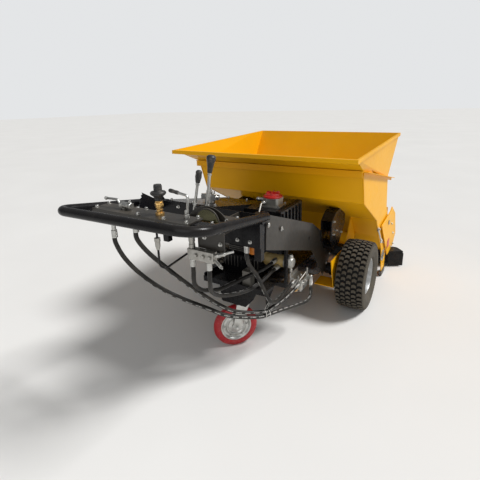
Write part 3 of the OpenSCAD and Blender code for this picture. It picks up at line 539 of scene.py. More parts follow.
class Form:
    """The skins of one piece, gathered in the row frame until the piece is made."""

    def __init__(self) -> None:
        """Starts an empty form."""
        self.mesh = bmesh.new()
        self.along = self.mesh.verts.layers.float.new("along")
        self.around = self.mesh.verts.layers.float.new("around")
        self.proud = self.mesh.verts.layers.float.new("proud")

    def skin(self, rings: Sequence[Sequence[Vector]], loop: bool = False,
             proud: Sequence[float] = ()) -> None:
        """Joins closed rings of equally many points by faces.

        Args:
            rings: The rings, in order.
            loop: Whether the last ring joins the first, which leaves out the end caps.
            proud: How far each ring stands out of the grooves, from 0 to 1, where a finish asks for it.
        """
        rows = [[self.mesh.verts.new(p) for p in points] for points in rings]
        count = len(rows[0])
        length = 0.0
        for i, row in enumerate(rows):
            if i:
                middle = [sum((Vector(v.co) for v in r), Vector()) / count for r in (rows[i - 1], row)]
                length += (middle[1] - middle[0]).length
            for k, vert in enumerate(row):
                vert[self.along], vert[self.around] = length, k / count
                vert[self.proud] = proud[i] if proud else 1.0
        for low, high in zip(rows, rows[1:] + ([rows[0]] if loop else [])):
            for k in range(count):
                n = (k + 1) % count
                self.mesh.faces.new((low[k], low[n], high[n], high[k]))
        if not loop:
            self.mesh.faces.new(rows[0][::-1])
            self.mesh.faces.new(rows[-1])

    def tube(self, path: Sequence[Vector], radius: float | Sequence[float], sides: int = 16) -> None:
        """Sweeps a round section along a path.

        Args:
            path: Centres of the section.
            radius: Its radius, or one at each centre.
            sides: Sides of the section.
        """
        radii = radius if isinstance(radius, Sequence) else [radius] * len(path)
        runs = [(b - a).normalized() for a, b in zip(path, path[1:])]
        tangents = [runs[0]] + [(a + b).normalized() for a, b in zip(runs, runs[1:])] + [runs[-1]]
        across = tangents[0].orthogonal().normalized()
        rings = []
        for centre, tangent, wide in zip(path, tangents, radii):
            across = (across - tangent * across.dot(tangent)).normalized()
            rings.append(ring(centre, across, tangent.cross(across), wide, sides))
        self.skin(rings)

    def lathe(self, profile: Sequence[Point2], origin: Vector, axis: Vector, sides: int = 40,
              loop: bool = False, proud: Sequence[float] = ()) -> None:
        """Turns a profile about an axis.

        Args:
            profile: Points of radius and height along the axis.
            origin: Where height is 0.
            axis: Direction of the axis.
            sides: Sides of the turned form.
            loop: Whether the profile is a closed one, as a tyre's is.
            proud: How far each point of the profile stands out of the grooves, where a finish asks for it.
        """
        axis = axis.normalized()
        across = (X if abs(axis.x) < 0.9 else Y).cross(axis).normalized()
        self.skin([ring(origin + axis * h, across, axis.cross(across), max(r, 1e-5), sides)
                   for r, h in profile], loop, proud)

    def bar(self, start: Vector, end: Vector, radius: float, sides: int = 20, soft: float = 0.0) -> None:
        """Draws a round bar, its ends chamfered by soft."""
        span = (end - start).length
        self.lathe([(radius - soft, 0), (radius, soft), (radius, span - soft), (radius - soft, span)],
                   start, end - start, sides)

    def prism(self, outline: Sequence[Point2], origin: Vector, across: Vector, up: Vector,
              depth: float) -> None:
        """Extrudes an outline.

        Args:
            outline: Its points in the plane of across and up.
            origin: Where the outline's zero is.
            across: Direction of the outline's first numbers.
            up: Direction of its second numbers.
            depth: How far it is extruded along their cross product.
        """
        away = across.cross(up) * depth
        flat = [origin + across * a + up * b for a, b in outline]
        self.skin([flat, [p + away for p in flat]])

    def plate(self, x0: float, x1: float, outline: Sequence[Point2]) -> None:
        """Extrudes an outline of places along and heights, from x0 to x1."""
        self.prism(outline, at_axle(x0, 0, 0), Y, Z, x1 - x0)

    def block(self, low: Point3, high: Point3, soft: float = 0.0) -> None:
        """Draws a box.

        Args:
            low: Its low corner, measured from the axle.
            high: Its high corner.
            soft: How far its upright edges are cut.
        """
        (x0, y0, z0), (x1, y1, z1) = low, high
        outline = [(x0, y0), (x1, y0), (x1, y1), (x0, y1)]
        if soft:
            outline = [(x0 + soft, y0), (x1 - soft, y0), (x1, y0 + soft), (x1, y1 - soft),
                       (x1 - soft, y1), (x0 + soft, y1), (x0, y1 - soft), (x0, y0 + soft)]
        self.prism(outline, at_axle(0, 0, z0), X, Y, z1 - z0)

    def bolt(self, place: Vector, axis: Vector, across_flats: float = 0.013) -> None:
        """Sets a washer and a hexagon head on a face.

        Args:
            place: Centre of the seat.
            axis: Direction away from the face.
            across_flats: Size of the head over its flats.
        """
        r = across_flats / math.sqrt(3)
        axis = axis.normalized()
        self.lathe([(r * 1.35, 0), (r * 1.35, r * 0.22), (r * 1.2, r * 0.28)], place, axis, 18)
        self.lathe([(r, r * 0.28), (r, r * 1.25), (r * 0.82, r * 1.45)], place, axis, 6)
        self.lathe([(r * 0.72, r * 1.4), (r * 0.62, r * 1.52)], place, axis, 12)

    def button(self, place: Vector, axis: Vector, radius: float = 0.009) -> None:
        """Sets a domed head with a socket on a face."""
        self.lathe([(radius * 1.5, 0), (radius * 1.5, 0.0012), (radius, 0.0013), (radius, radius * 0.3),
                    (radius * 0.8, radius * 0.65), (radius * 0.45, radius * 0.8),
                    (radius * 0.4, radius * 0.45)],
                   place, axis, 20)

    def ball(self, centre: Vector, radius: float) -> None:
        """Draws a ball."""
        rows = BALL_SIDES // 2
        self.lathe([(radius * math.sin(math.pi * k / rows), -radius * math.cos(math.pi * k / rows))
                    for k in range(rows + 1)], centre, Z, BALL_SIDES)

    def weld(self, path: Sequence[Vector], radius: float = 0.0035, ripple: float = 0.005) -> None:
        """Lays a rippled weld bead along a path.

        Args:
            path: Where the two plates meet.
            radius: The bead's radius.
            ripple: Distance from one ripple to the next.
        """
        centres, radii = [], []
        for start, end in zip(path, path[1:]):
            count = max(2, round((end - start).length / ripple * 2))
            for k in range(count):
                centres.append(start.lerp(end, k / count))
                radii.append(radius * (1.0 if k % 2 else 0.78))
        self.tube(centres + [path[-1]], radii + [radius * 0.5], 8)

    def spring(self, start: Vector, end: Vector, radius: float, wire: float, turns: int) -> None:
        """Winds a coil spring.

        Args:
            start: Its first end.
            end: Its other end.
            radius: Radius of the coil.
            wire: Radius of the wire.
            turns: How many turns it has.
        """
        axis = (end - start).normalized()
        across = axis.orthogonal().normalized()
        up = axis.cross(across)
        steps = turns * COIL_PARTS
        self.tube([start.lerp(end, k / steps) + (across * math.cos(math.tau * k / COIL_PARTS)
                                                 + up * math.sin(math.tau * k / COIL_PARTS)) * radius
                   for k in range(steps + 1)], wire, 6)

    def piece(self, name: str, body: Body, finish: Finish, replaces: Iterable[str] = (),
              soft_edge: float = 0.0, sharp_deg: float = 35.0) -> bpy.types.Object:
        """Makes the piece.

        Args:
            name: Its name.
            body: The body that it rides on.
            finish: Its finish.
            replaces: CAD nodes that it stands for.
            soft_edge: Width of the bevel on its hard edges, or 0.
            sharp_deg: Angle over which an edge is shaded hard.

        Returns:
            The piece's object.
        """
        bmesh.ops.recalc_face_normals(self.mesh, faces=self.mesh.faces)
        data = bpy.data.meshes.new(name)
        self.mesh.to_mesh(data)
        self.mesh.free()
        data.shade_smooth()
        data.set_sharp_from_angle(angle=math.radians(sharp_deg))
        made = bpy.data.objects.new(name, data)
        bpy.context.scene.collection.objects.link(made)
        if soft_edge:
            bevel = made.modifiers.new("edges", "BEVEL")
            bevel.width, bevel.segments, bevel.limit_method = soft_edge, 2, "ANGLE"
            bevel.angle_limit, bevel.harden_normals = math.radians(sharp_deg), True
            bevel.use_clamp_overlap = False
        data.materials.append(finish.material())
        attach(made, body.value)
        if replaces:
            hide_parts(*replaces)
        LOG.info("%s on %s, %d faces", name, body.value, len(data.polygons))
        return made


@dataclass
class Studio:
    """The pale floor, the soft light and the camera at the photograph's place."""

    eye: Point3 = (1.1082, -2.5542, 1.4800)
    yaw: float = 31.509
    pitch: float = -16.530
    roll: float = -1.536
    focal_px: float = 369.02
    frame_px: float = 480.0
    optical_centre_px: Point2 = (240.505, 212.876)
    sensor_mm: float = 36.0
    floor_half: float = 60.0
    sun_from: Point3 = (0.7, 0.42, 1.0)
    sun_strength: float = 3.4
    sun_angle: float = 16.0
    fill_at: Point3 = (1.5, -5.2, 3.2)
    fill_size: float = 4.0
    fill_power: float = 60.0
    look_at: Point3 = (0.0, 0.0, 0.5)
    sky: float = 0.28
    backdrop: float = 0.8
    sky_colour: Colour = (0.97, 0.985, 1.0)

    def camera(self) -> None:
        """Places the camera as the photograph was taken."""
        yaw, pitch, roll = (math.radians(v) for v in (self.yaw, self.pitch, self.roll))
        ahead = Vector((-math.sin(yaw) * math.cos(pitch), math.cos(yaw) * math.cos(pitch), math.sin(pitch)))
        right = Vector((math.cos(yaw), math.sin(yaw), 0.0))
        up = right.cross(ahead)
        across = right * math.cos(roll) + up * math.sin(roll)
        above = up * math.cos(roll) - right * math.sin(roll)
        data = bpy.data.cameras.new("camera")
        data.sensor_width = self.sensor_mm
        data.lens = self.focal_px / self.frame_px * self.sensor_mm
        data.shift_x = (self.frame_px / 2 - self.optical_centre_px[0]) / self.frame_px
        data.shift_y = (self.optical_centre_px[1] - self.frame_px / 2) / self.frame_px
        made = bpy.data.objects.new("camera", data)
        turn = Matrix((across, above, -ahead)).transposed().to_4x4()
        made.matrix_world = Matrix.Translation(at_axle(*self.eye)) @ turn
        bpy.context.scene.collection.objects.link(made)
        bpy.context.scene.camera = made

    def build(self) -> None:
        """Makes the lights and the floor."""
        self.sun()
        self.light("fill", self.fill_at, self.fill_size, self.fill_power)
        self.world()
        self.floor()

    def sun(self) -> None:
        """Hangs the broad key light, which falls evenly on the whole floor."""
        data = bpy.data.lights.new("key", "SUN")
        data.energy, data.angle = self.sun_strength, math.radians(self.sun_angle)
        made = bpy.data.objects.new("key", data)
        made.rotation_euler = (-Vector(self.sun_from)).to_track_quat("-Z", "Y").to_euler()
        bpy.context.scene.collection.objects.link(made)

    def light(self, name: str, place: Point3, size: float, power: float) -> None:
        """Hangs a square soft box that looks at the machine.

        Args:
            name: The lamp's name.
            place: Its place in the row frame.
            size: The side of its face.
            power: Its power in watts.
        """
        data = bpy.data.lights.new(name, "AREA")
        data.size, data.energy = size, power
        made = bpy.data.objects.new(name, data)
        made.location = place
        made.rotation_euler = (Vector(self.look_at) - Vector(place)).to_track_quat("-Z", "Y").to_euler()
        bpy.context.scene.collection.objects.link(made)

    def world(self) -> None:
        """Lights the scene evenly with a dim sky, and shows the camera a brighter pale backdrop than bright
        metal sees.
        """
        world = bpy.data.worlds.new("studio")
        world.use_nodes = True
        nodes, links = world.node_tree.nodes, world.node_tree.links
        background = nodes["Background"]
        path = nodes.new("ShaderNodeLightPath")
        level = nodes.new("ShaderNodeMapRange")
        level.inputs["To Min"].default_value = self.sky
        level.inputs["To Max"].default_value = self.backdrop
        links.new(path.outputs["Is Camera Ray"], level.inputs["Value"])
        links.new(level.outputs[0], background.inputs["Strength"])
        background.inputs["Color"].default_value = (*self.sky_colour, 1.0)
        bpy.context.scene.world = world
        bpy.context.scene.view_settings.view_transform = "Standard"

    def floor(self) -> None:
        """Lays the plain pale floor."""
        graph = Graph("studio floor")
        cloud = graph.span(graph.noise(graph.place(), 0.7, 3.0), 0.3, 0.7)
        graph.set(Base_Color=graph.mix(cloud, (0.7, 0.69, 0.67), (0.73, 0.72, 0.7)), Roughness=0.85)
        mesh = bpy.data.meshes.new("floor")
        reach = self.floor_half
        mesh.from_pydata([(-reach, -reach, 0), (reach, -reach, 0), (reach, reach, 0), (-reach, reach, 0)],
                         [], [(0, 1, 2, 3)])
        made = bpy.data.objects.new("floor", mesh)
        made.data.materials.append(graph.material)
        bpy.context.scene.collection.objects.link(made)


@dataclass
class Hoses:
    """The hydraulic hoses, from fitting to fitting, with their crimped ends and ties."""

    diameter: float = 0.022
    left: Sequence[Point3] = (
        (-0.262, -1.462, 0.905), (-0.262, -1.462, 0.860), (-0.232, -1.445, 0.780), (-0.190, -1.400, 0.690),
        (-0.115, -1.350, 0.608), (-0.030, -1.290, 0.540), (0.060, -1.210, 0.470), (0.130, -1.140, 0.410),
        (0.190, -1.050, 0.365), (0.245, -0.960, 0.335), (0.268, -0.890, 0.322), (0.290, -0.790, 0.300),
        (0.326, -0.640, 0.265), (0.346, -0.520, 0.240), (0.349, -0.455, 0.258), (0.347, -0.455, 0.310),
        (0.347, -0.455, 0.345))
    middle: Sequence[Point3] = (
        (-0.125, -1.452, 0.950), (-0.125, -1.452, 0.900), (-0.092, -1.425, 0.830), (-0.040, -1.380, 0.752),
        (0.010, -1.320, 0.665), (0.058, -1.250, 0.575), (0.100, -1.170, 0.485), (0.150, -1.100, 0.420),
        (0.204, -1.020, 0.381), (0.262, -0.930, 0.358), (0.270, -0.870, 0.352), (0.290, -0.760, 0.352),
        (0.305, -0.660, 0.364), (0.305, -0.595, 0.366))
    loop: Sequence[Point3] = (
        (0.086, -1.323, 0.775), (0.086, -1.323, 0.725), (0.074, -1.308, 0.660), (0.074, -1.272, 0.612),
        (0.088, -1.215, 0.580), (0.110, -1.150, 0.563), (0.130, -1.060, 0.558), (0.160, -0.965, 0.562),
        (0.190, -0.860, 0.562), (0.200, -0.760, 0.560), (0.200, -0.712, 0.560))
    drop: Sequence[Point3] = (
        (0.180, -1.323, 0.775), (0.180, -1.323, 0.730), (0.168, -1.308, 0.670), (0.150, -1.272, 0.615),
        (0.146, -1.215, 0.568), (0.160, -1.140, 0.536), (0.186, -1.050, 0.516), (0.206, -0.960, 0.510),
        (0.215, -0.860, 0.514), (0.215, -0.760, 0.520), (0.215, -0.706, 0.520))
    front: Sequence[Point3] = (
        (0.228, -1.067, 0.775), (0.228, -1.067, 0.730), (0.226, -1.035, 0.670), (0.236, -0.985, 0.600),
        (0.260, -0.955, 0.510), (0.284, -0.935, 0.440), (0.290, -0.880, 0.398), (0.286, -0.790, 0.386),
        (0.277, -0.680, 0.385), (0.275, -0.595, 0.385))
    flat_z: float = 1.020
    manifold_z: float = 0.800
    valve_y: float = -0.560
    pump_y: float = -0.640

    def build(self) -> None:
        """Draws the hoses, then their fittings and ties."""
        for name, route in (("left", self.left), ("middle", self.middle), ("loop", self.loop),
                            ("drop", self.drop), ("front", self.front)):
            self.hose(f"hose_{name}", [at_axle(*p) for p in route])
        self.fittings()
        self.ties()

    def hose(self, node: str, route: Sequence[Vector]) -> None:
        """Draws one hose in place of its CAD tube.

        Args:
            node: The CAD node.
            route: The points that it runs through.
        """
        path = eased_path(route, 6)
        form = Form()
        form.tube(path, self.diameter / 2, 20)
        made = form.piece(f"{node}_cover", Body.CHASSIS, HOSE, [node])

    def fitting(self, form: Form, hose_end: Vector, seat: Vector) -> None:
        """Draws a crimped ferrule, a stem, a swivel nut and an adapter.

        Args:
            form: The form that takes them.
            hose_end: Where the hose ends.
            seat: The face that the adapter screws into.
        """
        span = (seat - hose_end).length
        ferrule = [(0.0118, -0.018), (0.0138, -0.017)]
        for k in range(5):
            low = -0.015 + 0.007 * k
            ferrule += [(0.0141, low), (0.0141, low + 0.005), (0.0134, low + 0.0055), (0.0134, low + 0.0065)]
        form.lathe(ferrule + [(0.0105, 0.0205), (0.0095, span * 0.5)], hose_end, seat - hose_end, 24)
        nut = span * 0.5
        form.lathe([(0.0125, nut), (0.0148, nut + 0.002), (0.0148, span * 0.8), (0.0125, span * 0.82)],
                   hose_end, seat - hose_end, 6)
        form.lathe([(0.0105, span * 0.8), (0.0105, span * 0.88), (0.0145, span * 0.885), (0.0145, span),
                    (0.0125, span)], hose_end, seat - hose_end, 24)

    def fittings(self) -> None:
        """Draws the fitting at each hose's end."""
        ends = (
            (self.left[0], (-0.262, -1.462, self.flat_z)), (self.middle[0], (-0.125, -1.452, self.flat_z)),
            (self.loop[0], (0.086, -1.323, self.manifold_z)),
            (self.drop[0], (0.180, -1.323, self.manifold_z)),
            (self.front[0], (0.228, -1.067, self.manifold_z)),
            (self.middle[-1], (0.305, self.valve_y, 0.366)), (self.front[-1], (0.275, self.valve_y, 0.385)),
            (self.left[-1], (0.347, -0.455, 0.380)), (self.loop[-1], (0.200, self.pump_y - 0.036, 0.560)),
            (self.drop[-1], (0.215, self.pump_y - 0.032, 0.520)))
        form = Form()
        for hose_end, seat in ends:
            self.fitting(form, at_axle(*hose_end), at_axle(*seat))
        form.bar(at_axle(0.330, -0.455, 0.386), at_axle(0.360, -0.455, 0.386), 0.010, 20, 0.001)
        form.ball(at_axle(0.347, -0.455, 0.386), 0.0125)
        form.piece("hose_ends", Body.CHASSIS, ZINC, ["hose_fittings"])

    def ties(self) -> None:
        """Draws the nylon ties that hold the hoses together."""
        form = Form()
        for place, run, wide in (((0.256, -0.943, 0.343), (0.5, 1.0, -0.2), 0.026),
                                 ((0.262, -0.915, 0.338), (0.3, 1.0, -0.1), 0.027)):
            axis = Vector(run).normalized()
            across = axis.cross(Z).normalized()
            up = across.cross(axis)
            centre = at_axle(*place)
            loop = ring(centre, across, up, wide, 28)
            form.tube(loop + [loop[0]], 0.0017, 6)
            tail = centre + up * wide
            form.tube([tail, tail + up * 0.03 + axis * 0.012, tail + up * 0.052 + axis * 0.03], 0.0013, 6)
        form.piece("hose_ties", Body.CHASSIS, WHITE_TIE)


@dataclass
class DriveWheel:
    """A turf tyre on its pressed rim."""

    side: int
    half_track: float = 0.538
    crown_r: float = 0.254
    groove: float = 0.0095
    pitches: int = 40
    rows: Sequence[float] = (-0.0745, -0.0375, 0.0, 0.0375, 0.0745)
    block_half_w: float = 0.0170
    block_half_l: float = 0.0118
    wave: float = -0.0034
    shoulder_half_l: float = 0.0075
    hub_face: float = 0.452

    @property
    def body(self) -> Body:
        """The body of this side's wheel."""
        return Body.WHEEL_RIGHT if self.side > 0 else Body.WHEEL_LEFT

    @property
    def word(self) -> str:
        """This side's name."""
        return "right" if self.side > 0 else "left"

    def place(self, radius: float, angle: float, across: float) -> Vector:
        """Gives a point of the wheel.

        Args:
            radius: Its distance from the axle.
            angle: Its angle round the axle.
            across: Its place across, positive outwards.

        Returns:
            The point in the row frame.
        """
        return at_axle(self.side * (self.half_track + across), radius * math.cos(angle),
                       AXLE_Z + radius * math.sin(angle))

    def crown(self, across: float) -> float:
        """Gives the radius over the tread at a place across."""
        return self.crown_r - 0.0085 * (across / 0.1) ** 2

    def build(self) -> None:
        """Draws the tyre and the rim."""
        self.tyre()
        self.rim()

    def tyre(self) -> None:
        """Draws the casing and its staggered blocks."""
        flank = [(0.1275, 0.0735), (0.131, 0.0815), (0.142, 0.0875), (0.146, 0.0905), (0.149, 0.0905),
                 (0.163, 0.0965), (0.181, 0.1008), (0.1835, 0.1018), (0.1865, 0.1018), (0.189, 0.1008),
                 (0.203, 0.1015), (0.217, 0.1005), (0.229, 0.0975), (0.237, 0.0925)]
        tread = [(self.crown(w) - self.groove, w) for w in (0.085, 0.06, 0.03, 0.0)]
        half = flank + tread
        profile = half + [(r, -h) for r, h in reversed(half[:-1])] + [(0.1275, -0.06), (0.1275, 0.06)]
        proud = [0.0 if (r, abs(h)) in tread else 1.0 for r, h in profile]
        form = Form()
        form.lathe(profile, at_axle(self.side * self.half_track, 0, AXLE_Z), X, 96, loop=True, proud=proud)
        for row, middle in enumerate(self.rows):
            for k in range(self.pitches):
                self.block(form, middle, math.tau * (k + 0.5 * (row % 2)) / self.pitches)
        for k in range(self.pitches * 2):
            for side in (1, -1):
                self.shoulder(form, math.tau * k / (self.pitches * 2), side)
        form.piece(f"turf_tyre_{self.word}", self.body, TREAD, [f"tyre_{self.word}"], sharp_deg=28)

    def block(self, form: Form, middle: float, angle: float) -> None:
        """Draws one tread block, bent like a shallow wave.

        Args:
            form: The tyre's form.
            middle: Its middle across the tread.
            angle: Its middle round the tyre.
        """
        steps = [k / 4 for k in range(-4, 5, 2)]
        edge = [(s * self.block_half_w, side * self.block_half_l + self.wave * math.cos(math.pi * s))
                for side, line in ((-1, steps), (1, steps[::-1])) for s in line]
        foot, shelf, top = [], [], []
        for across, along in edge:
            for line, share, sunk in ((foot, 1.0, self.groove + 0.001), (shelf, 0.9, 0.0012),
                                      (top, 0.84, 0.0)):
                w = middle + across * share
                line.append(self.place(self.crown(w) - sunk, angle + along * share / self.crown_r, w))
        form.skin([foot, shelf, top], proud=(0.0, 0.75, 1.0))

    def shoulder(self, form: Form, angle: float, side: int) -> None:
        """Draws a short bar that runs from the tread down the shoulder.

        Args:
            form: The tyre's form.
            angle: Its middle round the tyre.
            side: 1 for the outer shoulder, -1 for the inner one.
        """
        half = self.shoulder_half_l
        line = ((0.2425, 0.0925), (0.2365, 0.0965), (0.2275, 0.0995))
        rings = []
        for radius, across in line:
            low, high = (0.0035, 0.0) if radius == line[-1][0] else (0.006, 0.0)
            rings.append([self.place(radius - low, angle - half / radius, side * (across - 0.004)),
                          self.place(radius - low, angle + half / radius, side * (across - 0.004)),
                          self.place(radius - high, angle + half * 0.8 / radius, side * across),
                          self.place(radius - high, angle - half * 0.8 / radius, side * across)])
        form.skin(rings)

    def rim(self) -> None:
        """Draws the pressed rim, its hub, nuts and valve."""
        hub = self.hub_face - self.half_track
        profile = [(0.1278, -0.0732), (0.1395, -0.0732), (0.140, -0.0745), (0.140, -0.0795), (0.138, -0.080),
                   (0.124, -0.080), (0.121, -0.077), (0.1195, -0.050), (0.117, -0.040), (0.108, -0.0395),
                   (0.080, -0.0475), (0.066, -0.052), (0.038, -0.052), (0.038, hub), (0.012, hub),
                   (0.012, -0.040), (0.033, -0.040), (0.034, -0.0455), (0.062, -0.0458), (0.068, -0.044),
                   (0.082, -0.0405), (0.104, -0.0335), (0.112, -0.030), (0.1135, -0.024), (0.114, 0.020),
                   (0.118, 0.030), (0.1205, 0.040), (0.121, 0.075), (0.1235, 0.0795), (0.1385, 0.0798),
                   (0.140, 0.0785), (0.140, 0.0745), (0.1395, 0.0732), (0.1278, 0.0732)]
        origin = at_axle(self.side * self.half_track, 0, AXLE_Z)
        outward = X * self.side
        form = Form()
        form.lathe(profile, origin, outward, 96, loop=True)
        form.lathe([(0.0148, hub - 0.0225), (0.015, hub - 0.0215), (0.015, hub + 0.004)], origin, outward, 32)
        form.piece(f"pressed_rim_{self.word}", self.body, SILVER, [f"rim_{self.word}"], sharp_deg=40)
        nuts = Form()
        for k in range(5):
            spot = self.place(0.052, math.tau * k / 5 + 0.3, -0.0458)
            nuts.bolt(spot, outward, 0.019)
        nuts.lathe([(0.034, -0.041), (0.034, -0.036), (0.032, -0.034), (0.026, -0.033), (0.024, -0.020),
                    (0.021, -0.0175), (0.006, -0.017)], origin, outward, 36)
        stem = self.place(0.1165, 2.2, 0.03)
        nuts.lathe([(0.006, -0.002), (0.006, 0.010), (0.0042, 0.012), (0.0042, 0.026), (0.0052, 0.027),
                    (0.0052, 0.038), (0.003, 0.039)], stem, outward, 16)
        nuts.piece(f"wheel_nuts_{self.word}", self.body, ZINC)


@dataclass
class Caster:
    """The swivelling caster: a red wheel on a two-part zinc rim, in a bent fork, under the tray's skirts."""

    swivel: Point2 = (0.033, -0.808)
    turn_deg: float = 46.0
    trail: float = 0.048104
    radius: float = 0.140
    half_w: float = 0.025
    leg_gap: float = 0.030

    def __post_init__(self) -> None:
        """Works out the fork's own directions."""
        turn = math.radians(self.turn_deg)
        self.ahead = Vector((math.cos(turn), math.sin(turn), 0.0))
        self.side = Z.cross(self.ahead)
        self.foot = at_axle(self.swivel[0], self.swivel[1], 0.0)
        self.hub = self.foot - self.ahead * self.trail + Z * self.radius

    def at(self, ahead: float, side: float, up: float) -> Vector:
        """Gives a point measured from the swivel on the ground."""
        return self.foot + self.ahead * ahead + self.side * side + Z * up

    def build(self) -> None:
        """Draws the wheel and what holds it."""
        self.wheel()
        self.fork()
        self.tray_skirts()

    def wheel(self) -> None:
        """Draws the tread, the rim and its rivets."""
        w = self.half_w
        tread = [(0.0972, w - 0.0035), (0.104, w - 0.001), (0.112, w - 0.0003), (0.122, w - 0.001),
                 (0.129, w - 0.004), (0.1345, w - 0.009), (0.138, w - 0.015), (0.1397, w - 0.0215),
                 (0.14, 0.0)]
        form = Form()
        form.lathe(tread + [(r, -h) for r, h in reversed(tread[:-1])], self.hub, self.side, 96, loop=True)
        form.piece("caster_tread", Body.CASTER_WHEEL, RED_TREAD, ["caster_tyre"], sharp_deg=40)
        face = [(0.0083, 0.026), (0.0225, 0.026), (0.024, 0.025), (0.0245, 0.0145), (0.027, 0.0135),
                (0.048, 0.0100), (0.052, 0.0125), (0.056, 0.0165), (0.060, 0.0165), (0.065, 0.0105),
                (0.078, 0.0080), (0.083, 0.0105), (0.087, 0.0185), (0.0915, 0.0215), (0.0945, 0.0222),
                (0.0968, 0.021)]
        rim = Form()
        rim.lathe(face + [(r, -h) for r, h in reversed(face)], self.hub, self.side, 80, loop=True)
        for side in (1, -1):
            for spot in ring(self.hub, self.ahead, Z, 0.072, 6):
                rim.bolt(spot + self.side * (side * 0.0088), self.side * side, 0.011)
            rim.lathe([(0.021, 0.0255), (0.021, 0.0275), (0.016, 0.0285), (0.0085, 0.0285)],
                      self.hub, self.side * side, 30)
        rim.piece("caster_pressed_rim", Body.CASTER_WHEEL, ZINC, ["caster_rim"], sharp_deg=40)

    def fork(self) -> None:
        """Draws the bent fork, its ball race, the axle's nuts and the plate's bolts."""
        top = 2 * self.radius + 0.008
        form = Form()
        outline = [(-0.066, 0.133), (-0.058, 0.124), (-0.048, 0.122), (-0.038, 0.124), (-0.030, 0.133),
                   (0.036, top - 0.004), (0.036, top + 0.006), (-0.044, top + 0.006), (-0.0665, 0.152)]
        for side in (1, -1):
            form.prism(outline, self.at(0, side * (self.leg_gap + 0.002) + 0.002, 0), self.ahead, Z, 0.004)
            hub = self.hub + self.side * (side * (self.leg_gap + 0.004))
            form.bolt(hub, self.side * side, 0.022)
        form.prism([(-0.044, -self.leg_gap), (0.036, -self.leg_gap), (0.036, self.leg_gap),
                    (-0.044, self.leg_gap)],
                   self.at(0, 0, top), self.ahead, self.side, 0.006)
        form.lathe([(0.030, 0.006), (0.040, 0.0065), (0.040, 0.0115), (0.038, 0.013), (0.040, 0.0145),
                    (0.040, 0.0192), (0.036, 0.0198)], self.at(0, 0, top), Z, 48)
        form.bar(self.at(0, 0, top + 0.018), self.at(0, 0, top + 0.050), 0.010)
        form.bar(self.hub - self.side * 0.030, self.hub + self.side * 0.030, 0.008)
        form.piece("caster_bent_fork", Body.CASTER_YOKE, ZINC, ["caster_fork"], 0.0008)
        plate = Form()
        for x in (-0.034, 0.034):
            for y in (-0.026, 0.026):
                plate.bolt(at_axle(self.swivel[0] + x * 0.9, self.swivel[1] + y * 0.9, top + 0.0252),
                           -Z, 0.010)
        plate.piece("caster_plate_bolts", Body.CHASSIS, ZINC)

    def tray_skirts(self) -> None:
        """Draws the black plates that hang from the belly tray, round the post and along its right edge;
        besides the plates seen there, they stand in for the shade under the tray.
        """
        skirt = Form()
        skirt.prism([(-0.050, 0.338), (-0.042, 0.332), (0.118, 0.332), (0.172, 0.395), (0.200, 0.4575),
                     (-0.062, 0.4575)],
                    at_axle(0, -0.905, 0), X, Z, 0.006)
        # Dark plate along the tray's right edge: partly a plate, partly painted shade that fills the shaded
        # gap under the tray.
        skirt.plate(0.244, 0.250, [(-0.438, 0.340), (-0.300, 0.338), (-0.215, 0.262), (-0.030, 0.196),
                                   (0.098, 0.196), (0.098, 0.3915), (-0.438, 0.4268)])
        skirt.piece("tray_skirts", Body.CHASSIS, BLACK, soft_edge=0.0012)


@dataclass
class Handlebar:
    """The bent handlebar with its cross flat, and the arm brackets on the frame."""

    foot_y: float = -1.067
    foot_z: float = 0.962
    grip_y: float = -1.605
    grip_z: float = 1.047
    half_w: float = 0.340
    radius: float = 0.021

    def point(self, x: float, y: float) -> Vector:
        """Gives a point in the handlebar's falling plane."""
        share = (self.foot_y - y) / (self.foot_y - self.grip_y)
        return at_axle(x, y, self.foot_z + share * (self.grip_z - self.foot_z))

    def build(self) -> None:
        """Draws the tube, the flat, the brackets and the welds."""
        corners = [self.point(self.half_w, self.foot_y), self.point(self.half_w, self.grip_y),
                   self.point(-self.half_w - 0.050, self.grip_y - 0.045),
                   self.point(-self.half_w, self.foot_y)]
        path = bent_path(corners, (0.110, 0.055), 14)
        form = Form()
        form.tube(path, self.radius, 40)
        form.block((-0.370, -1.480, 1.020), (0.335, -1.430, 1.028), 0.002)
        for side in (-1, 1):
            form.block(*sorted_box((side * 0.318, -1.084, 0.925), (side * 0.328, -1.050, 0.985)))
        form.piece("bent_handlebar", Body.CHASSIS, BLACK, ["handlebar"])
        weld = Form()
        for side in (-1, 1):
            spot = self.point(side * self.half_w, self.foot_y + 0.012)
            weld.weld(ring(spot + Vector((side * -0.012, 0, 0)), X, Z, 0.0225, 24)[3:21], 0.004)
        weld.weld([at_axle(0.300, -1.480, 1.029), at_axle(0.330, -1.480, 1.029)], 0.003)
        weld.piece("handlebar_welds", Body.CHASSIS, BLACK)


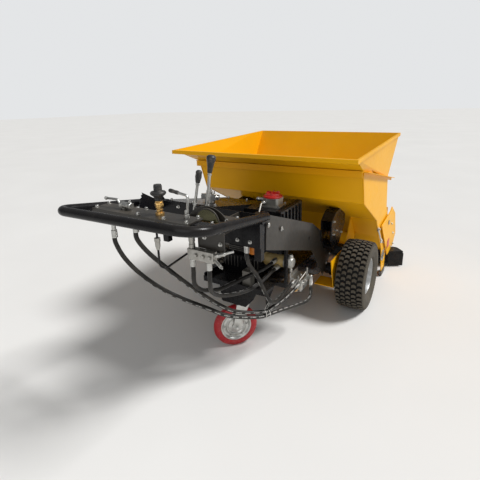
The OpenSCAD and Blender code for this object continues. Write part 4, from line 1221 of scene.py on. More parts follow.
@dataclass
class Console:
    """What stands on the console: regulator, valve levers, bolts and control levers."""

    top: float = 1.034
    regulator_at: Point2 = (0.030, -1.450)
    long_top: Point3 = (0.151, -1.245, 1.189)
    short_top: Point3 = (0.081, -1.245, 1.138)
    gate_r: float = 0.0585

    def build(self) -> None:
        """Draws the controls."""
        self.regulator()
        self.valve_levers()
        self.control_levers()
        self.bolts()
        self.gate_faces()

    def regulator(self) -> None:
        """Draws the brass body, its nuts and the black knob."""
        spot = at_axle(*self.regulator_at, self.top)
        brass = Form()
        brass.lathe([(0.019, 0), (0.019, 0.010), (0.018, 0.012), (0.0122, 0.0125), (0.0122, 0.018),
                     (0.0142, 0.019), (0.0142, 0.026), (0.0115, 0.0275), (0.0115, 0.034)], spot, Z, 40)
        brass.lathe([(0.017, 0.034), (0.0185, 0.036), (0.0185, 0.052), (0.017, 0.054)], spot, Z, 6)
        brass.lathe([(0.0165, 0.054), (0.0165, 0.058), (0.0145, 0.0585), (0.0145, 0.063)], spot, Z, 40)
        brass.piece("regulator_body", Body.CHASSIS, BRASS, ["regulator"])
        knob = Form()
        knob.lathe([(0.014, 0.0625), (0.015, 0.064), (0.0155, 0.069), (0.022, 0.083), (0.0305, 0.0895),
                    (0.032, 0.092), (0.032, 0.100), (0.030, 0.1025), (0.020, 0.105), (0.017, 0.108),
                    (0.0166, 0.129), (0.0155, 0.1325), (0.004, 0.133)], spot, Z, 48)
        for out in ring(Vector(), X, Y, 1.0, 20):
            knob.bar(spot + out * 0.0167 + Z * 0.109, spot + out * 0.0167 + Z * 0.128, 0.0012, 6)
            knob.bar(spot + out * 0.0319 + Z * 0.0925, spot + out * 0.0319 + Z * 0.0995, 0.0017, 6)
        self.lever_grips(knob)
        knob.piece("moulded_knobs", Body.CHASSIS, BLACK_KNOB, ["lever_knobs"])

    def lever_grips(self, form: Form) -> None:
        """Draws the two lever knobs and the valve lever's grip in the knobs' form."""
        for foot, end, slim in ((self.long_top, (0.166, -1.245, 1.268), 0.0),
                                (self.short_top, (0.094, -1.245, 1.196), 0.006)):
            run = at_axle(*end) - at_axle(*foot)
            tall = run.length
            form.lathe([(0.008, 0), (0.0095, 0.004), (0.0105, 0.02 * tall), (0.0122, 0.2 * tall),
                        (0.0152, 0.5 * tall), (0.0198 - slim, 0.72 * tall), (0.021 - slim, 0.82 * tall),
                        (0.0198 - slim, 0.91 * tall), (0.0155 - slim * 0.8, 0.97 * tall),
                        (0.008, 0.995 * tall), (0.002, tall)],
                       at_axle(*foot), run, 32)
        grip = (at_axle(0.142, -1.450, 1.141), at_axle(0.093, -1.450, 1.148))
        span = (grip[1] - grip[0]).length
        form.lathe([(0.0062, 0), (0.0078, 0.002), (0.0085, 0.01), (0.0072, 0.02), (0.0084, 0.033),
                    (0.0085, span - 0.006), (0.0065, span - 0.001), (0.001, span)], grip[0],
                   grip[1] - grip[0], 28)

    def valve_levers(self) -> None:
        """Draws the two bent valve levers, the left one with its valve body."""
        form = Form()
        spot = at_axle(-0.185, -1.452, self.top)
        form.lathe([(0.0115, 0), (0.013, 0.001), (0.013, 0.014), (0.0115, 0.0155), (0.0115, 0.019)],
                   spot, Z, 30)
        left = at_axle(-0.205, -1.452, self.top + 0.019)
        form.lathe([(0.0135, 0), (0.0165, 0.002), (0.0165, 0.018), (0.0145, 0.020)], left, X, 6)
        form.lathe([(0.0155, 0.020), (0.0155, 0.050), (0.0145, 0.051)], left, X, 30)
        form.lathe([(0.0145, 0.0505), (0.0165, 0.053), (0.0165, 0.068), (0.0135, 0.070)], left, X, 6)
        ball = at_axle(-0.300, -1.452, 1.073)
        form.tube(bent_path([at_axle(-0.200, -1.452, self.top + 0.010), at_axle(-0.226, -1.452, 1.075), ball],
                            (0.014,), 8), 0.0055, 20)
        form.ball(ball, 0.0085)
        form.bolt(left + X * 0.058 + Z * 0.016, Z, 0.011)
        foot = at_axle(0.176, -1.450, self.top)
        form.lathe([(0.0105, 0), (0.012, 0.001), (0.012, 0.021), (0.0105, 0.022)], foot, Z, 6)
        form.tube(bent_path([foot, at_axle(0.190, -1.450, 1.134), at_axle(0.142, -1.450, 1.141)], (0.016,),
                            10),
                  0.0055, 20)
        form.lathe([(0.0075, 0.022), (0.0085, 0.024), (0.0085, 0.036), (0.0062, 0.040)], foot, Z, 20)
        form.piece("valve_levers", Body.CHASSIS, ZINC, ["clamp_levers"])

    def control_levers(self) -> None:
        """Draws the two control rods with their feet and nuts."""
        form = Form()
        for foot, top, radius in (((0.122, -1.245, 0.981), self.long_top, 0.007),
                                  ((0.046, -1.245, 0.981), self.short_top, 0.0065)):
            base, head = at_axle(*foot), at_axle(*top)
            form.bar(base, head, radius, 24)
            form.lathe([(0.010, 0), (0.011, 0.001), (0.011, 0.010), (0.0095, 0.012)], base, Z, 24)
            run = (head - base).normalized()
            form.lathe([(0.009, 0), (0.0105, 0.0015), (0.0105, 0.0095), (0.009, 0.011)],
                       base + run * 0.05, run, 6)
            form.lathe([(0.0085, 0), (0.0098, 0.001), (0.0098, 0.007), (0.0085, 0.008)],
                       head - run * 0.012, run, 6)
        form.piece("control_rods", Body.CHASSIS, ZINC, ["lever_rods"])

    def gate_faces(self) -> None:
        """Draws the olive plate on the near gate, with its folded bright foot."""
        form = Form()
        r = self.gate_r
        arc = [(r * math.cos(math.pi * k / 24), r * math.sin(math.pi * k / 24) * 0.96) for k in range(25)]
        form.prism(arc, at_axle(0.170, -1.3062, 0.9815), X, Z, 0.0016)
        form.piece("gate_face", Body.CHASSIS, OLIVE, soft_edge=0.0005)
        foot = Form()
        foot.block((0.112, -1.3125, 0.9812), (0.228, -1.3062, 0.9832))
        foot.piece("gate_foot", Body.CHASSIS, BRASS)

    def bolts(self) -> None:
        """Sets the bolts of the console and of the plates round it."""
        form = Form()
        up = ((-0.325, -1.420, 1.034), (-0.325, -1.490, 1.034), (-0.240, -1.415, 1.034),
              (-0.060, -1.490, 1.034), (-0.085, -1.415, 1.034), (0.085, -1.490, 1.034),
              (0.205, -1.490, 1.034), (0.205, -1.415, 1.034), (0.240, -1.262, 0.981), (0.205, -1.318, 0.981),
              (0.060, -1.318, 0.981), (0.265, -1.208, 0.981))
        for place in up:
            form.bolt(at_axle(*place), Z, 0.013)
        near = ((0.235, -1.306, 0.945), (0.150, -1.306, 0.905), (0.235, -1.306, 0.885),
                (0.132, -1.306, 0.958))
        for place in near:
            form.bolt(at_axle(*place), -Y, 0.013)
        form.piece("console_bolts", Body.CHASSIS, ZINC)


@dataclass
class ValveBank:
    """The manifold under the console, with its cap, plugs and side valve."""

    def build(self) -> None:
        """Draws the manifold."""
        form = Form()
        form.block((0.070, -1.340, 0.800), (0.215, -1.306, 0.850), 0.002)
        cap = at_axle(0.088, -1.323, 0.850)
        form.lathe([(0.0135, 0), (0.015, 0.001), (0.015, 0.020), (0.013, 0.022), (0.013, 0.030),
                    (0.015, 0.032), (0.015, 0.054), (0.0135, 0.056)], cap, Z, 30)
        form.lathe([(0.0105, 0.056), (0.012, 0.058), (0.012, 0.072), (0.0105, 0.074)], cap, Z, 6)
        for x in (0.120, 0.160, 0.195):
            form.lathe([(0.009, 0), (0.0105, 0.001), (0.0105, 0.008), (0.009, 0.009)],
                       at_axle(x, -1.340, 0.824), -Y, 6)
            form.lathe([(0.004, 0.0085), (0.0035, 0.006)], at_axle(x, -1.340, 0.824), -Y, 6)
        for x in (0.128, 0.165):
            form.button(at_axle(x, -1.323, 0.850), Z, 0.0065)
        form.piece("manifold_body", Body.CHASSIS, CAST, ["valve_manifold"], 0.001)
        side = Form()
        side.bar(at_axle(0.212, -1.323, 0.831), at_axle(0.262, -1.323, 0.850), 0.009, 24, 0.001)
        side.lathe([(0.0105, 0), (0.012, 0.002), (0.012, 0.014), (0.0105, 0.016)],
                   at_axle(0.225, -1.323, 0.836), Vector((0.93, 0, 0.36)), 6)
        side.tube([at_axle(0.258, -1.323, 0.8485), at_axle(0.280, -1.312, 0.857),
                   at_axle(0.300, -1.300, 0.862)],
                  [0.0075, 0.006, 0.006], 20)
        side.ball(at_axle(0.262, -1.323, 0.850), 0.0095)
        side.spring(at_axle(0.222, -1.330, 0.812), at_axle(0.262, -1.345, 0.796), 0.0065, 0.0014, 7)
        side.bar(at_axle(0.214, -1.327, 0.815), at_axle(0.268, -1.347, 0.793), 0.0035, 12)
        side.piece("manifold_side_valve", Body.CHASSIS, ZINC)


@dataclass
class Filter:
    """The return filter on the tank: cast head, red ribbed cap, two elbows."""

    at: Point2 = (0.166, -0.645)
    foot: float = 0.890

    def spot(self, x: float, y: float, z: float) -> Vector:
        """Gives a point measured from the filter's foot."""
        return at_axle(self.at[0] + x, self.at[1] + y, self.foot + z)

    def box(self, form: Form, half: Point2, low: float, high: float, cut: float) -> None:
        """Draws a block about the filter's axis.

        Args:
            form: The form that takes it.
            half: Half its size across and along.
            low: Its foot, above the filter's foot.
            high: Its top.
            cut: How far its corners are cut.
        """
        (x, y), c = half, cut
        outline = [(-x + c, -y), (x - c, -y), (x, -y + c), (x, y - c), (x - c, y), (-x + c, y), (-x, y - c),
                   (-x, -y + c)]
        form.prism(outline, self.spot(0, 0, low), X, Y, high - low)

    def build(self) -> None:
        """Draws the head, its elbows and its cap."""
        head = Form()
        self.box(head, (0.066, 0.058), 0.0, 0.010, 0.012)
        self.box(head, (0.050, 0.045), 0.009, 0.050, 0.010)
        self.box(head, (0.053, 0.048), 0.046, 0.054, 0.012)
        for x in (-0.056, 0.056):
            for y in (-0.048, 0.048):
                head.bolt(self.spot(x, y, 0.010), Z, 0.010)
        head.piece("filter_casting", Body.CHASSIS, CAST, ["filter_head"], 0.0012)
        elbows = Form()
        elbows.lathe([(0.012, 0), (0.012, 0.006), (0.014, 0.007), (0.014, 0.018), (0.0115, 0.020),
                      (0.0115, 0.040)],
                     self.spot(-0.050, -0.006, 0.034), -X, 24)
        elbows.ball(self.spot(-0.092, -0.006, 0.034), 0.015)
        elbows.lathe([(0.010, 0), (0.010, 0.004), (0.0125, 0.005), (0.0125, 0.013), (0.010, 0.015),
                      (0.010, 0.019)],
                     self.spot(-0.030, -0.045, 0.030), -Y, 24)
        elbows.ball(self.spot(-0.030, -0.064, 0.030), 0.013)
        elbows.piece("filter_elbows", Body.CHASSIS, ZINC)
        cap = Form()
        top = self.spot(0, 0, 0.054)
        cap.lathe([(0.054, 0), (0.056, 0.0015), (0.056, 0.0095), (0.0545, 0.0115), (0.046, 0.0125),
                   (0.0435, 0.0145), (0.0425, 0.021), (0.040, 0.0235), (0.014, 0.0245), (0.002, 0.0245)],
                  top, Z, 64)
        for out in ring(Vector(), X, Y, 1.0, 36):
            cap.bar(top + out * 0.0555 + Z * 0.001, top + out * 0.0555 + Z * 0.0095, 0.0014, 6)
        for out in ring(Vector(), X, Y, 1.0, 6):
            cap.prism([(0.012, 0.022), (0.043, 0.0215), (0.041, 0.030), (0.038, 0.032), (0.015, 0.032)],
                      top - Z.cross(out) * 0.0035, out, Z, 0.0075)
        cap.lathe([(0.013, 0.024), (0.013, 0.0315), (0.011, 0.0325), (0.002, 0.0325)], top, Z, 24)
        cap.piece("filter_screw_cap", Body.CHASSIS, RED_CAP, ["filter_cap"])


@dataclass
class TopValve:
    """The small solenoid valve stack on the engine cover."""

    at: Point2 = (-0.110, -0.900)
    cover_near: Point2 = (-1.048, 0.9645)
    cover_far: Point2 = (-0.400, 0.830)
    cover_t: float = 0.004

    def build(self) -> None:
        """Draws the stack, square to the sloping cover."""
        fall = (self.cover_near[1] - self.cover_far[1]) / (self.cover_far[0] - self.cover_near[0])
        slope = math.atan(fall)
        drop = (self.at[1] - self.cover_near[0]) * fall
        height = self.cover_near[1] - drop + self.cover_t / math.cos(slope)
        foot = at_axle(*self.at, height)
        up = Vector((0, math.sin(slope), math.cos(slope)))
        on = Vector((0, math.cos(slope), -math.sin(slope)))
        form = Form()
        form.lathe([(0.029, 0), (0.030, 0.001), (0.030, 0.018), (0.027, 0.020), (0.027, 0.030),
                    (0.030, 0.032), (0.030, 0.049), (0.028, 0.050)], foot, up, 40)
        form.prism([(-0.050, -0.020), (0.050, -0.020), (0.050, 0.020), (-0.050, 0.020)],
                   foot + up * 0.020, X, on, 0.030)
        for side in (-1, 1):
            form.lathe([(0.009, 0), (0.0105, 0.001), (0.0105, 0.009), (0.009, 0.010)],
                       foot + up * 0.035 + X * (side * 0.050), X * side, 6)
        for seat in ring(foot, X, on, 0.024, 6):
            spot = seat + up * 0.050
            form.bar(spot, spot + up * 0.022, 0.0032, 12)
            form.lathe([(0.0045, 0.003), (0.0052, 0.0035), (0.0052, 0.0085), (0.0045, 0.009)], spot, up, 6)
        form.lathe([(0.0105, 0.050), (0.012, 0.052), (0.012, 0.066), (0.010, 0.068)], foot, up, 6)
        form.lathe([(0.008, 0.068), (0.008, 0.078), (0.006, 0.080)], foot, up, 20)
        form.piece("cover_valve", Body.CHASSIS, ZINC, ["valve_cluster"], 0.0006)


@dataclass
class Hydraulics:
    """Pump, solenoid valves and pipes between the belly tray and the right rail."""

    pump: Point2 = (-0.640, 0.545)
    pump_r: float = 0.038
    valve_x: Point2 = (0.250, 0.330)
    valve_y: Point2 = (-0.560, -0.440)
    valve_z: Point2 = (0.330, 0.400)
    tank_top: float = 0.890
    pipe_foot_y: float = -0.800

    def build(self) -> None:
        """Draws the pump, the valves and the pipes."""
        self.charge_pump()
        self.valves()
        self.small_blocks()
        self.pilot_pipe()

    def charge_pump(self) -> None:
        """Draws the painted barrel with its clamp, then the cast pump head with the bent pipes."""
        barrel = Form()
        start = at_axle(0.110, *self.pump)
        r = self.pump_r
        barrel.lathe([(r - 0.004, 0), (r, 0.003), (r, 0.007), (r + 0.005, 0.008), (r + 0.005, 0.016),
                      (r, 0.017), (r, 0.136), (r - 0.002, 0.140)], start, X, 48)
        barrel.piece("pump_barrel", Body.CHASSIS, CREAM, ["charge_pump"])
        head = Form()
        face = at_axle(0.250, *self.pump)
        head.lathe([(0.043, 0), (0.044, 0.001), (0.044, 0.011), (0.042, 0.0125), (0.040, 0.016),
                    (0.034, 0.040), (0.029, 0.050), (0.026, 0.052)], face, X, 40)
        for spot in ring(face, Y, Z, 0.0345, 6, 0.5):
            head.bolt(spot + X * 0.0125, X, 0.009)
        mouth = at_axle(0.283, self.pump[0], self.pump[1] + 0.020)
        head.lathe([(0.015, 0), (0.015, 0.022), (0.0135, 0.0235), (0.0135, 0.034)], mouth, Z, 28)
        head.lathe([(0.010, 0), (0.011, 0.002), (0.011, 0.018), (0.009, 0.020), (0.009, 0.040)],
                   at_axle(0.283, self.pump[0], self.pump[1] - 0.060), Z, 24)
        self.bent_pipes(head)
        head.piece("pump_head_and_pipes", Body.CHASSIS, CAST, ["steel_pipes"])

    def bent_pipes(self, form: Form) -> None:
        """Draws the bent pipe behind the filter and the stepped fitting under the console."""
        rail_z = Frame().rail_top(self.pipe_foot_y)
        form.tube(bent_path([at_axle(0.136, -0.722, self.tank_top + 0.030),
                             at_axle(0.136, -0.738, self.tank_top + 0.030), at_axle(0.146, -0.790, 0.872),
                             at_axle(0.170, self.pipe_foot_y, rail_z + 0.011)],
                            (0.005, 0.016), 6), 0.005, 18)
        form.lathe([(0.013, 0), (0.013, 0.020), (0.0115, 0.022), (0.0115, 0.045), (0.0135, 0.047),
                    (0.0135, 0.063), (0.008, 0.069), (0.0065, 0.070)], at_axle(0, -1.450, 1.020), -Z, 30)

    def valves(self) -> None:
        """Draws the solenoid block on its bracket, with coils, plugs, rods and a brass union."""
        form = Form()
        x0, x1 = self.valve_x
        near, far = self.valve_y
        foot, top = self.valve_z
        form.plate(x0 - 0.006, x0, [(near, 0.4352), (far, 0.4273), (far, foot), (near, foot)])
        form.block((x0, near, foot), (x1, far, top), 0.003)
        for y in (-0.530, -0.500, -0.470):
            spot = at_axle(x0 + 0.026, y, foot)
            form.lathe([(0.012, 0), (0.012, 0.008), (0.0105, 0.009), (0.0105, 0.011), (0.012, 0.012),
                        (0.012, 0.032), (0.010, 0.034)], spot, -Z, 26)
        for y in (-0.530, -0.470):
            form.lathe([(0.0095, 0), (0.010, 0.001), (0.010, 0.024), (0.0085, 0.026)],
                       at_axle(x0 + 0.056, y, foot), -Z, 6)
        for y in (-0.545, -0.500, -0.455):
            form.lathe([(0.0085, 0), (0.0095, 0.001), (0.0095, 0.008), (0.0085, 0.009)],
                       at_axle(x1, y, 0.372), X, 6)
        for y in (-0.535, -0.490):
            form.bolt(at_axle(x0 + 0.040, y, top), Z, 0.012)
        form.piece("solenoid_valves", Body.CHASSIS, ZINC, ["solenoid_block"], 0.001)
        rods = Form()
        rods.bar(at_axle(0.296, -0.562, 0.352), at_axle(0.318, -0.585, 0.405), 0.004, 14, 0.0005)
        rods.bar(at_axle(0.318, -0.585, 0.405), at_axle(0.329, -0.500, 0.432), 0.0035, 14, 0.0005)
        rods.bar(at_axle(0.322, -0.470, 0.398), at_axle(0.322, -0.462, 0.446), 0.006, 16, 0.001)
        rods.ball(at_axle(0.318, -0.585, 0.405), 0.0065)
        rods.piece("valve_rods", Body.CHASSIS, CAST)
        union = Form()
        union.lathe([(0.015, 0), (0.0165, 0.001), (0.0165, 0.012), (0.015, 0.013)],
                    at_axle(0.292, -0.572, 0.338), -Y, 6)
        union.lathe([(0.011, 0.013), (0.011, 0.022), (0.009, 0.023)], at_axle(0.292, -0.572, 0.338), -Y, 24)
        union.bar(at_axle(0.292, -0.572, 0.338), at_axle(0.292, -0.558, 0.338), 0.010)
        union.piece("valve_union", Body.CHASSIS, BRASS)

    def pilot_pipe(self) -> None:
        """Draws the black pipe from the console to the manifold, with its union."""
        form = Form()
        form.tube(bent_path([at_axle(0, -1.450, 0.952), at_axle(0, -1.450, 0.760),
                             at_axle(0.065, -1.332, 0.820)],
                            (0.030,), 8), 0.005, 18)
        form.piece("pilot_pipe", Body.CHASSIS, BLACK)
        union = Form()
        union.lathe([(0.005, 0), (0.0135, 0.001), (0.0135, 0.018), (0.0115, 0.020), (0.0115, 0.038),
                     (0.0075, 0.056)],
                    at_axle(0, -1.450, 0.926), -Z, 24)
        union.piece("pilot_union", Body.CHASSIS, CAST, soft_edge=0.0006)

    def small_blocks(self) -> None:
        """Draws the small blocks seen between the rails and the tray."""
        orange = Form()
        orange.block((0.215, -1.048, 0.742), (0.262, -1.020, 0.790), 0.004)
        orange.piece("flow_switch", Body.CHASSIS, ORANGE, soft_edge=0.0015)
        grey = Form()
        grey.block((0.095, -0.905, 0.4695), (0.150, -0.850, 0.560), 0.004)
        grey.bolt(at_axle(0.122, -0.878, 0.560), Z, 0.014)
        grey.piece("terminal_box", Body.CHASSIS, GREY, soft_edge=0.0015)


@dataclass
class Frame:
    """Fasteners, welds and the engine's outside on the black frame."""

    rail_x: Point2 = (0.280, 0.318)
    near: Point2 = (-1.084, 0.9563)
    knee: Point2 = (-0.400, 0.728)
    motor_bolt_r: float = 0.054

    def rail_top(self, y: float) -> float:
        """Gives the height of the rails' top at a place along."""
        share = (y - self.near[0]) / (self.knee[0] - self.near[0])
        return self.near[1] + (self.knee[1] - self.near[1]) * share

    def build(self) -> None:
        """Draws the fasteners, the welds and the engine."""
        self.bolts()
        self.welds()
        self.engine()

    def bolts(self) -> None:
        """Sets bolts on the front plate, the covers, the deck and the wheel motors."""
        form = Form()
        for x in (-0.296, -0.180, -0.060, 0.296):
            form.bolt(at_axle(x, -1.092, 0.955), -Y, 0.013)
        for x in (-0.250, -0.090, 0.060, 0.190, 0.262):
            form.bolt(at_axle(x, -1.092, 0.828), -Y, 0.013)
        for side in (-1, 1):
            for y, z in ((-1.020, 0.905), (-0.870, 0.840)):
                form.button(at_axle(side * 0.329, y, z), X * side, 0.0085)
            for y, z in ((0.000, 0.375), (-0.070, 0.325)):
                form.button(at_axle(side * 0.323, y, z), X * side, 0.0075)
            for spot in ring(at_axle(side * 0.418, 0, AXLE_Z), Y, Z, self.motor_bolt_r, 4, 0.5):
                form.bolt(spot, X * side, 0.013)
            for y, z in ((0.000, 0.560), (-0.180, 0.690), (-0.120, 0.610), (-0.190, 0.600)):
                form.bolt(at_axle(side * 0.400, y, z), X * side, 0.013)
        for x, y in ((0.060, -0.420), (0.250, -0.420), (0.200, -0.800), (0.250, -1.000), (0.075, -1.000)):
            form.bolt(at_axle(x, y, self.rail_top(y) + 0.0043), Vector((0, 0.33, 1)), 0.011)
        for x in (-0.290, -0.140, 0.010):
            form.bolt(at_axle(x, -1.020, 0.9632), Vector((0, 0.2, 1)), 0.012)
            form.bolt(at_axle(x, -0.430, 0.8408), Vector((0, 0.2, 1)), 0.012)
        form.piece("frame_bolts", Body.CHASSIS, ZINC)

    def welds(self) -> None:
        """Lays the frame's weld beads."""
        form = Form()
        for side in (-1, 1):
            inner = side * self.rail_x[0]
            form.weld([at_axle(inner, -1.084, 0.845), at_axle(inner, -1.084, 0.950)], 0.003)
            form.weld([at_axle(side * 0.300, 0.100, 0.401), at_axle(side * 0.410, 0.100, 0.401)], 0.003)
        form.weld([at_axle(0.197, -1.092, 0.902), at_axle(0.197, -1.092, 0.972)], 0.003)
        form.weld([at_axle(-0.318, -1.0925, 0.9765), at_axle(0.318, -1.0925, 0.9765)], 0.0016)
        form.piece("frame_welds", Body.CHASSIS, BLACK)

    def engine(self) -> None:
        """Draws fins, a starter housing and a muffler on the engine's plain block."""
        fins = Form()
        for k in range(9):
            z = 0.575 + k * 0.0125
            fins.block((-0.138, -0.688, z), (0.038, -0.404, z + 0.004), 0.01)
        for k in range(11):
            x = -0.142 + k * 0.024
            fins.block((x, -0.7235, 0.480), (x + 0.004, -0.716, 0.552))
        fins.lathe([(0.060, 0), (0.064, 0.002), (0.064, 0.012), (0.052, 0.020), (0.034, 0.024),
                    (0.030, 0.030), (0.004, 0.031)], at_axle(-0.150, -0.540, 0.500), -X, 40)
        for spot in ring(at_axle(-0.162, -0.540, 0.500), Y, Z, 0.048, 12):
            fins.bar(spot, spot - X * 0.006, 0.0045, 10)
        fins.piece("engine_fins", Body.CHASSIS, GREY)
        muffler = Form()
        muffler.bar(at_axle(-0.190, -0.420, 0.600), at_axle(-0.190, -0.620, 0.600), 0.038, 36, 0.006)
        muffler.tube([at_axle(-0.190, -0.600, 0.600), at_axle(-0.190, -0.650, 0.600),
                      at_axle(-0.190, -0.672, 0.590), at_axle(-0.190, -0.680, 0.560)], 0.012, 20)
        muffler.bar(at_axle(-0.190, -0.520, 0.600), at_axle(-0.120, -0.520, 0.600), 0.014, 20)
        muffler.piece("engine_muffler", Body.CHASSIS, WORN)


@dataclass
class Hopper:
    """Weld seams, the rim's bead and small fittings on the yellow hopper."""

    half_w: float = 0.608
    sheet: float = 0.005
    neck: Point2 = (-0.333, 1.073)
    knee: Point2 = (-0.252, 0.855)
    floor_top: Point2 = (0.197, 0.621)
    floor_low: Point2 = (0.346, 0.439)
    throat: Point2 = (0.490, 0.295)
    far_neck: Point2 = (0.500, 0.896)
    far_knee: Point2 = (0.572, 0.638)
    rim_half_w: float = 0.637
    rim: Sequence[Point2] = ((-0.596, 1.180), (0.746, 1.217))
    bearing_bolt_r: float = 0.0415
    rail_at: Point2 = (0.335, 0.4524)
    rail_x: Point2 = (0.325, 0.430)

    def build(self) -> None:
        """Draws the seams, the rim's bead and the fittings."""
        self.seams()
        self.rim_bead()
        self.fittings()

    def seams(self) -> None:
        """Lays the beads where the walls meet the side plates, and along the neck."""
        form = Form()
        line = [self.neck, self.knee, self.floor_top, self.floor_low, self.throat]
        for side in (-1, 1):
            x = side * (self.half_w - self.sheet)
            form.weld([at_axle(x, y - 0.0005, z - 0.001) for y, z in line], 0.003, 0.006)
            form.weld([at_axle(x, y, z) for y, z in (self.far_neck, self.far_knee)], 0.003, 0.006)
            form.weld([at_axle(side * self.half_w, self.neck[0] + 0.004, self.neck[1] + 0.001),
                       at_axle(side * self.half_w, self.far_neck[0] - 0.006, self.far_neck[1] + 0.001)],
                      0.0026, 0.006)
        form.weld([at_axle(-self.half_w, self.neck[0] - 0.0005, self.neck[1] + 0.0015),
                   at_axle(self.half_w, self.neck[0] - 0.0005, self.neck[1] + 0.0015)], 0.0026, 0.006)
        form.piece("hopper_seams", Body.CHASSIS, YELLOW)

    def rim_bead(self) -> None:
        """Rounds the rim with the thin bead of its folded lip."""
        (near, near_z), (far, far_z) = self.rim
        w = self.rim_half_w
        corners = [at_axle(-w + 0.003, near + 0.003, near_z - 0.0022),
                   at_axle(w - 0.003, near + 0.003, near_z - 0.0022),
                   at_axle(w - 0.003, far - 0.003, far_z - 0.0022),
                   at_axle(-w + 0.003, far - 0.003, far_z - 0.0022)]
        form = Form()
        form.tube(bent_path([corners[0].lerp(corners[1], 0.5), corners[1], corners[2], corners[3], corners[0],
                             corners[0].lerp(corners[1], 0.5)], (0.006,) * 4, 5), 0.0022, 10)
        form.piece("hopper_rim_bead", Body.CHASSIS, YELLOW)

    def fittings(self) -> None:
        """Draws the short rails on the near wall and the bolts of the side plates."""
        rail = Form()
        y0, z0 = self.rail_at
        slope = (self.floor_low[1] - self.floor_top[1]) / (self.floor_low[0] - self.floor_top[0])
        for side in (-1, 1):
            x0, x1 = sorted(side * x for x in self.rail_x)
            rail.prism([(x0, -0.010), (x1, -0.010), (x1, 0.010), (x0, 0.010)],
                       at_axle(0, y0, z0 - 0.006), X, Vector((0, 1, slope)).normalized(), -0.008)
        rail.piece("hopper_rails", Body.CHASSIS, YELLOW)
        bolts = Form()
        for side in (-1, 1):
            for y, z in ((0.640, 0.240), (0.505, 0.340), (0.660, 0.360)):
                bolts.bolt(at_axle(side * self.half_w, y, z), X * side, 0.011)
        for k in range(6):
            angle = math.tau * k / 6
            for side in (-1, 1):
                bolts.bolt(at_axle(side * (self.half_w + 0.005),
                                   AUGER_AT[0] + self.bearing_bolt_r * math.cos(angle),
                                   AUGER_AT[1] + self.bearing_bolt_r * math.sin(angle)), X * side, 0.008)
        bolts.piece("side_plate_bolts", Body.CHASSIS, ZINC)


@dataclass
class DepthAdjuster:
    """The ring and bolts over the strap on a side plate."""

    side: int
    face: float = Hopper.half_w

    def build(self) -> None:
        """Draws the ring and the two bolts."""
        out = X * self.side
        form = Form()
        ring_at = at_axle(self.side * (self.face + 0.005), 0.434, 0.379)
        form.tube(ring(ring_at + out * 0.001, Y, Z, 0.0165, 32) + [ring_at + out * 0.001 + Y * 0.0165],
                  0.0024, 10)
        form.bolt(ring_at, out, 0.012)
        form.bolt(at_axle(self.side * (self.face + 0.006), 0.276, 0.526), out, 0.014)
        form.piece(f"adjuster_ring_{'right' if self.side > 0 else 'left'}", Body.CHASSIS, ZINC)


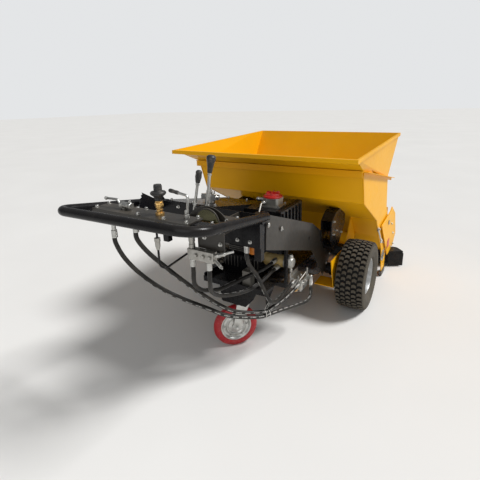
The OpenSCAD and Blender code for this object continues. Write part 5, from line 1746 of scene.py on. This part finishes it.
@dataclass
class Screed:
    """Fasteners, seams and reflectors of the screed, and the auger's flights."""

    arm_x: Point2 = (0.616, 0.624)
    auger_r: float = 0.080
    shaft_r: float = 0.025
    pitch: float = 0.160
    turns: float = 3.5
    steps: int = 40
    flight_from: float = 0.020
    flight_t: float = 0.006
    reflector_y: Point2 = (0.655, 0.745)
    reflector_z: Point2 = (0.232, 0.304)
    reflector_rim: float = 0.0025

    def build(self) -> None:
        """Draws the screed's details and the auger's flights."""
        self.bolts()
        self.seams()
        self.reflectors()
        self.flights()

    def bolts(self) -> None:
        """Sets the screed's bolts."""
        form = Form()
        for side in (-1, 1):
            for y, z in ((0.860, 0.180), (0.960, 0.180), (0.910, 0.300), (0.800, 0.420)):
                form.bolt(at_axle(side * self.arm_x[1], y, z), X * side, 0.014)
        for k in range(-4, 5):
            form.bolt(at_axle(k * 0.145, 0.985, 0.150 - 0.0315), Vector((0, 0.83, 0.55)), 0.011)
        form.piece("screed_bolts", Body.SCREED, ZINC)

    def seams(self) -> None:
        """Lays the beads between the hood and the arms."""
        form = Form()
        for side in (-1, 1):
            form.weld([at_axle(side * 0.622, 0.801, 0.151), at_axle(side * 0.622, 0.958, 0.151)], 0.003)
        form.piece("screed_seams", Body.SCREED, BLACK)

    def reflectors(self) -> None:
        """Draws the reflectors with a rim and rows of prisms."""
        form = Form()
        (y0, y1), (z0, z1), rim = self.reflector_y, self.reflector_z, self.reflector_rim
        for side in (-1, 1):
            x0 = side * self.arm_x[1]
            for thick, near, far in ((0.0022, y0, y1), (0.003, y0, y0 + rim), (0.003, y1 - rim, y1)):
                form.block(*sorted_box((x0, near, z0), (x0 + side * thick, far, z1)))
            for j in range(8):
                for k in range(6):
                    form.lathe([(0.0052, 0.0018), (0.0002, 0.0030)],
                               at_axle(x0, 0.663 + j * 0.0106, 0.239 + k * 0.0116), X * side, 6)
        form.piece("prism_reflectors", Body.SCREED, LENS, ["reflectors"])

    def flights(self) -> None:
        """Draws the auger's flights, left hand and right hand."""
        form = Form()
        root, edge, thick = self.shaft_r - 0.002, self.auger_r - 0.0008, self.flight_t
        section = ((0, root), (0.001, edge - 0.002), (0.0022, edge),
                   (thick - 0.0022, edge), (thick - 0.001, edge - 0.002), (thick, root))
        for side in (-1, 1):
            rings = []
            for i in range(int(self.steps * self.turns) + 1):
                angle = math.tau * i / self.steps
                x = self.flight_from + self.pitch * i / self.steps
                rings.append([at_axle(side * (x + dx), AUGER_AT[0] + r * math.cos(angle),
                                      AUGER_AT[1] + r * math.sin(angle)) for dx, r in section])
            form.skin(rings)
        form.piece("auger_screws", Body.AUGER, WORN, ["auger_flights"], sharp_deg=50)


def dress_nodes() -> None:
    """Gives every CAD node the finish of its slot in the record."""
    for part in frame["record"]["subparts"]:
        node = frame["nodes"][part["node"]]
        finish = BY_NODE.get(part["node"], BY_SLOT[Slot(part["material_slot"])])
        if not node.material_slots:
            node.data.materials.append(None)
        for slot in node.material_slots:
            slot.link = "OBJECT"
            slot.material = finish.material()
        LOG.info("%s dressed as %s", node.name, finish.name)


def main() -> None:
    """Builds the studio and dresses the paver, piece by piece."""
    logging.basicConfig(level=logging.INFO, format="%(message)s")
    studio = Studio()
    studio.camera()
    Hoses().build()
    studio.build()
    dress_nodes()
    for sub_assembly in (DriveWheel(1), DriveWheel(-1), Caster(), Handlebar(), Console(), ValveBank(),
                         Filter(), TopValve(), Hydraulics(), Frame(), Hopper(), DepthAdjuster(1),
                         DepthAdjuster(-1), Screed()):
        sub_assembly.build()


if __name__ == "__main__":
    main()
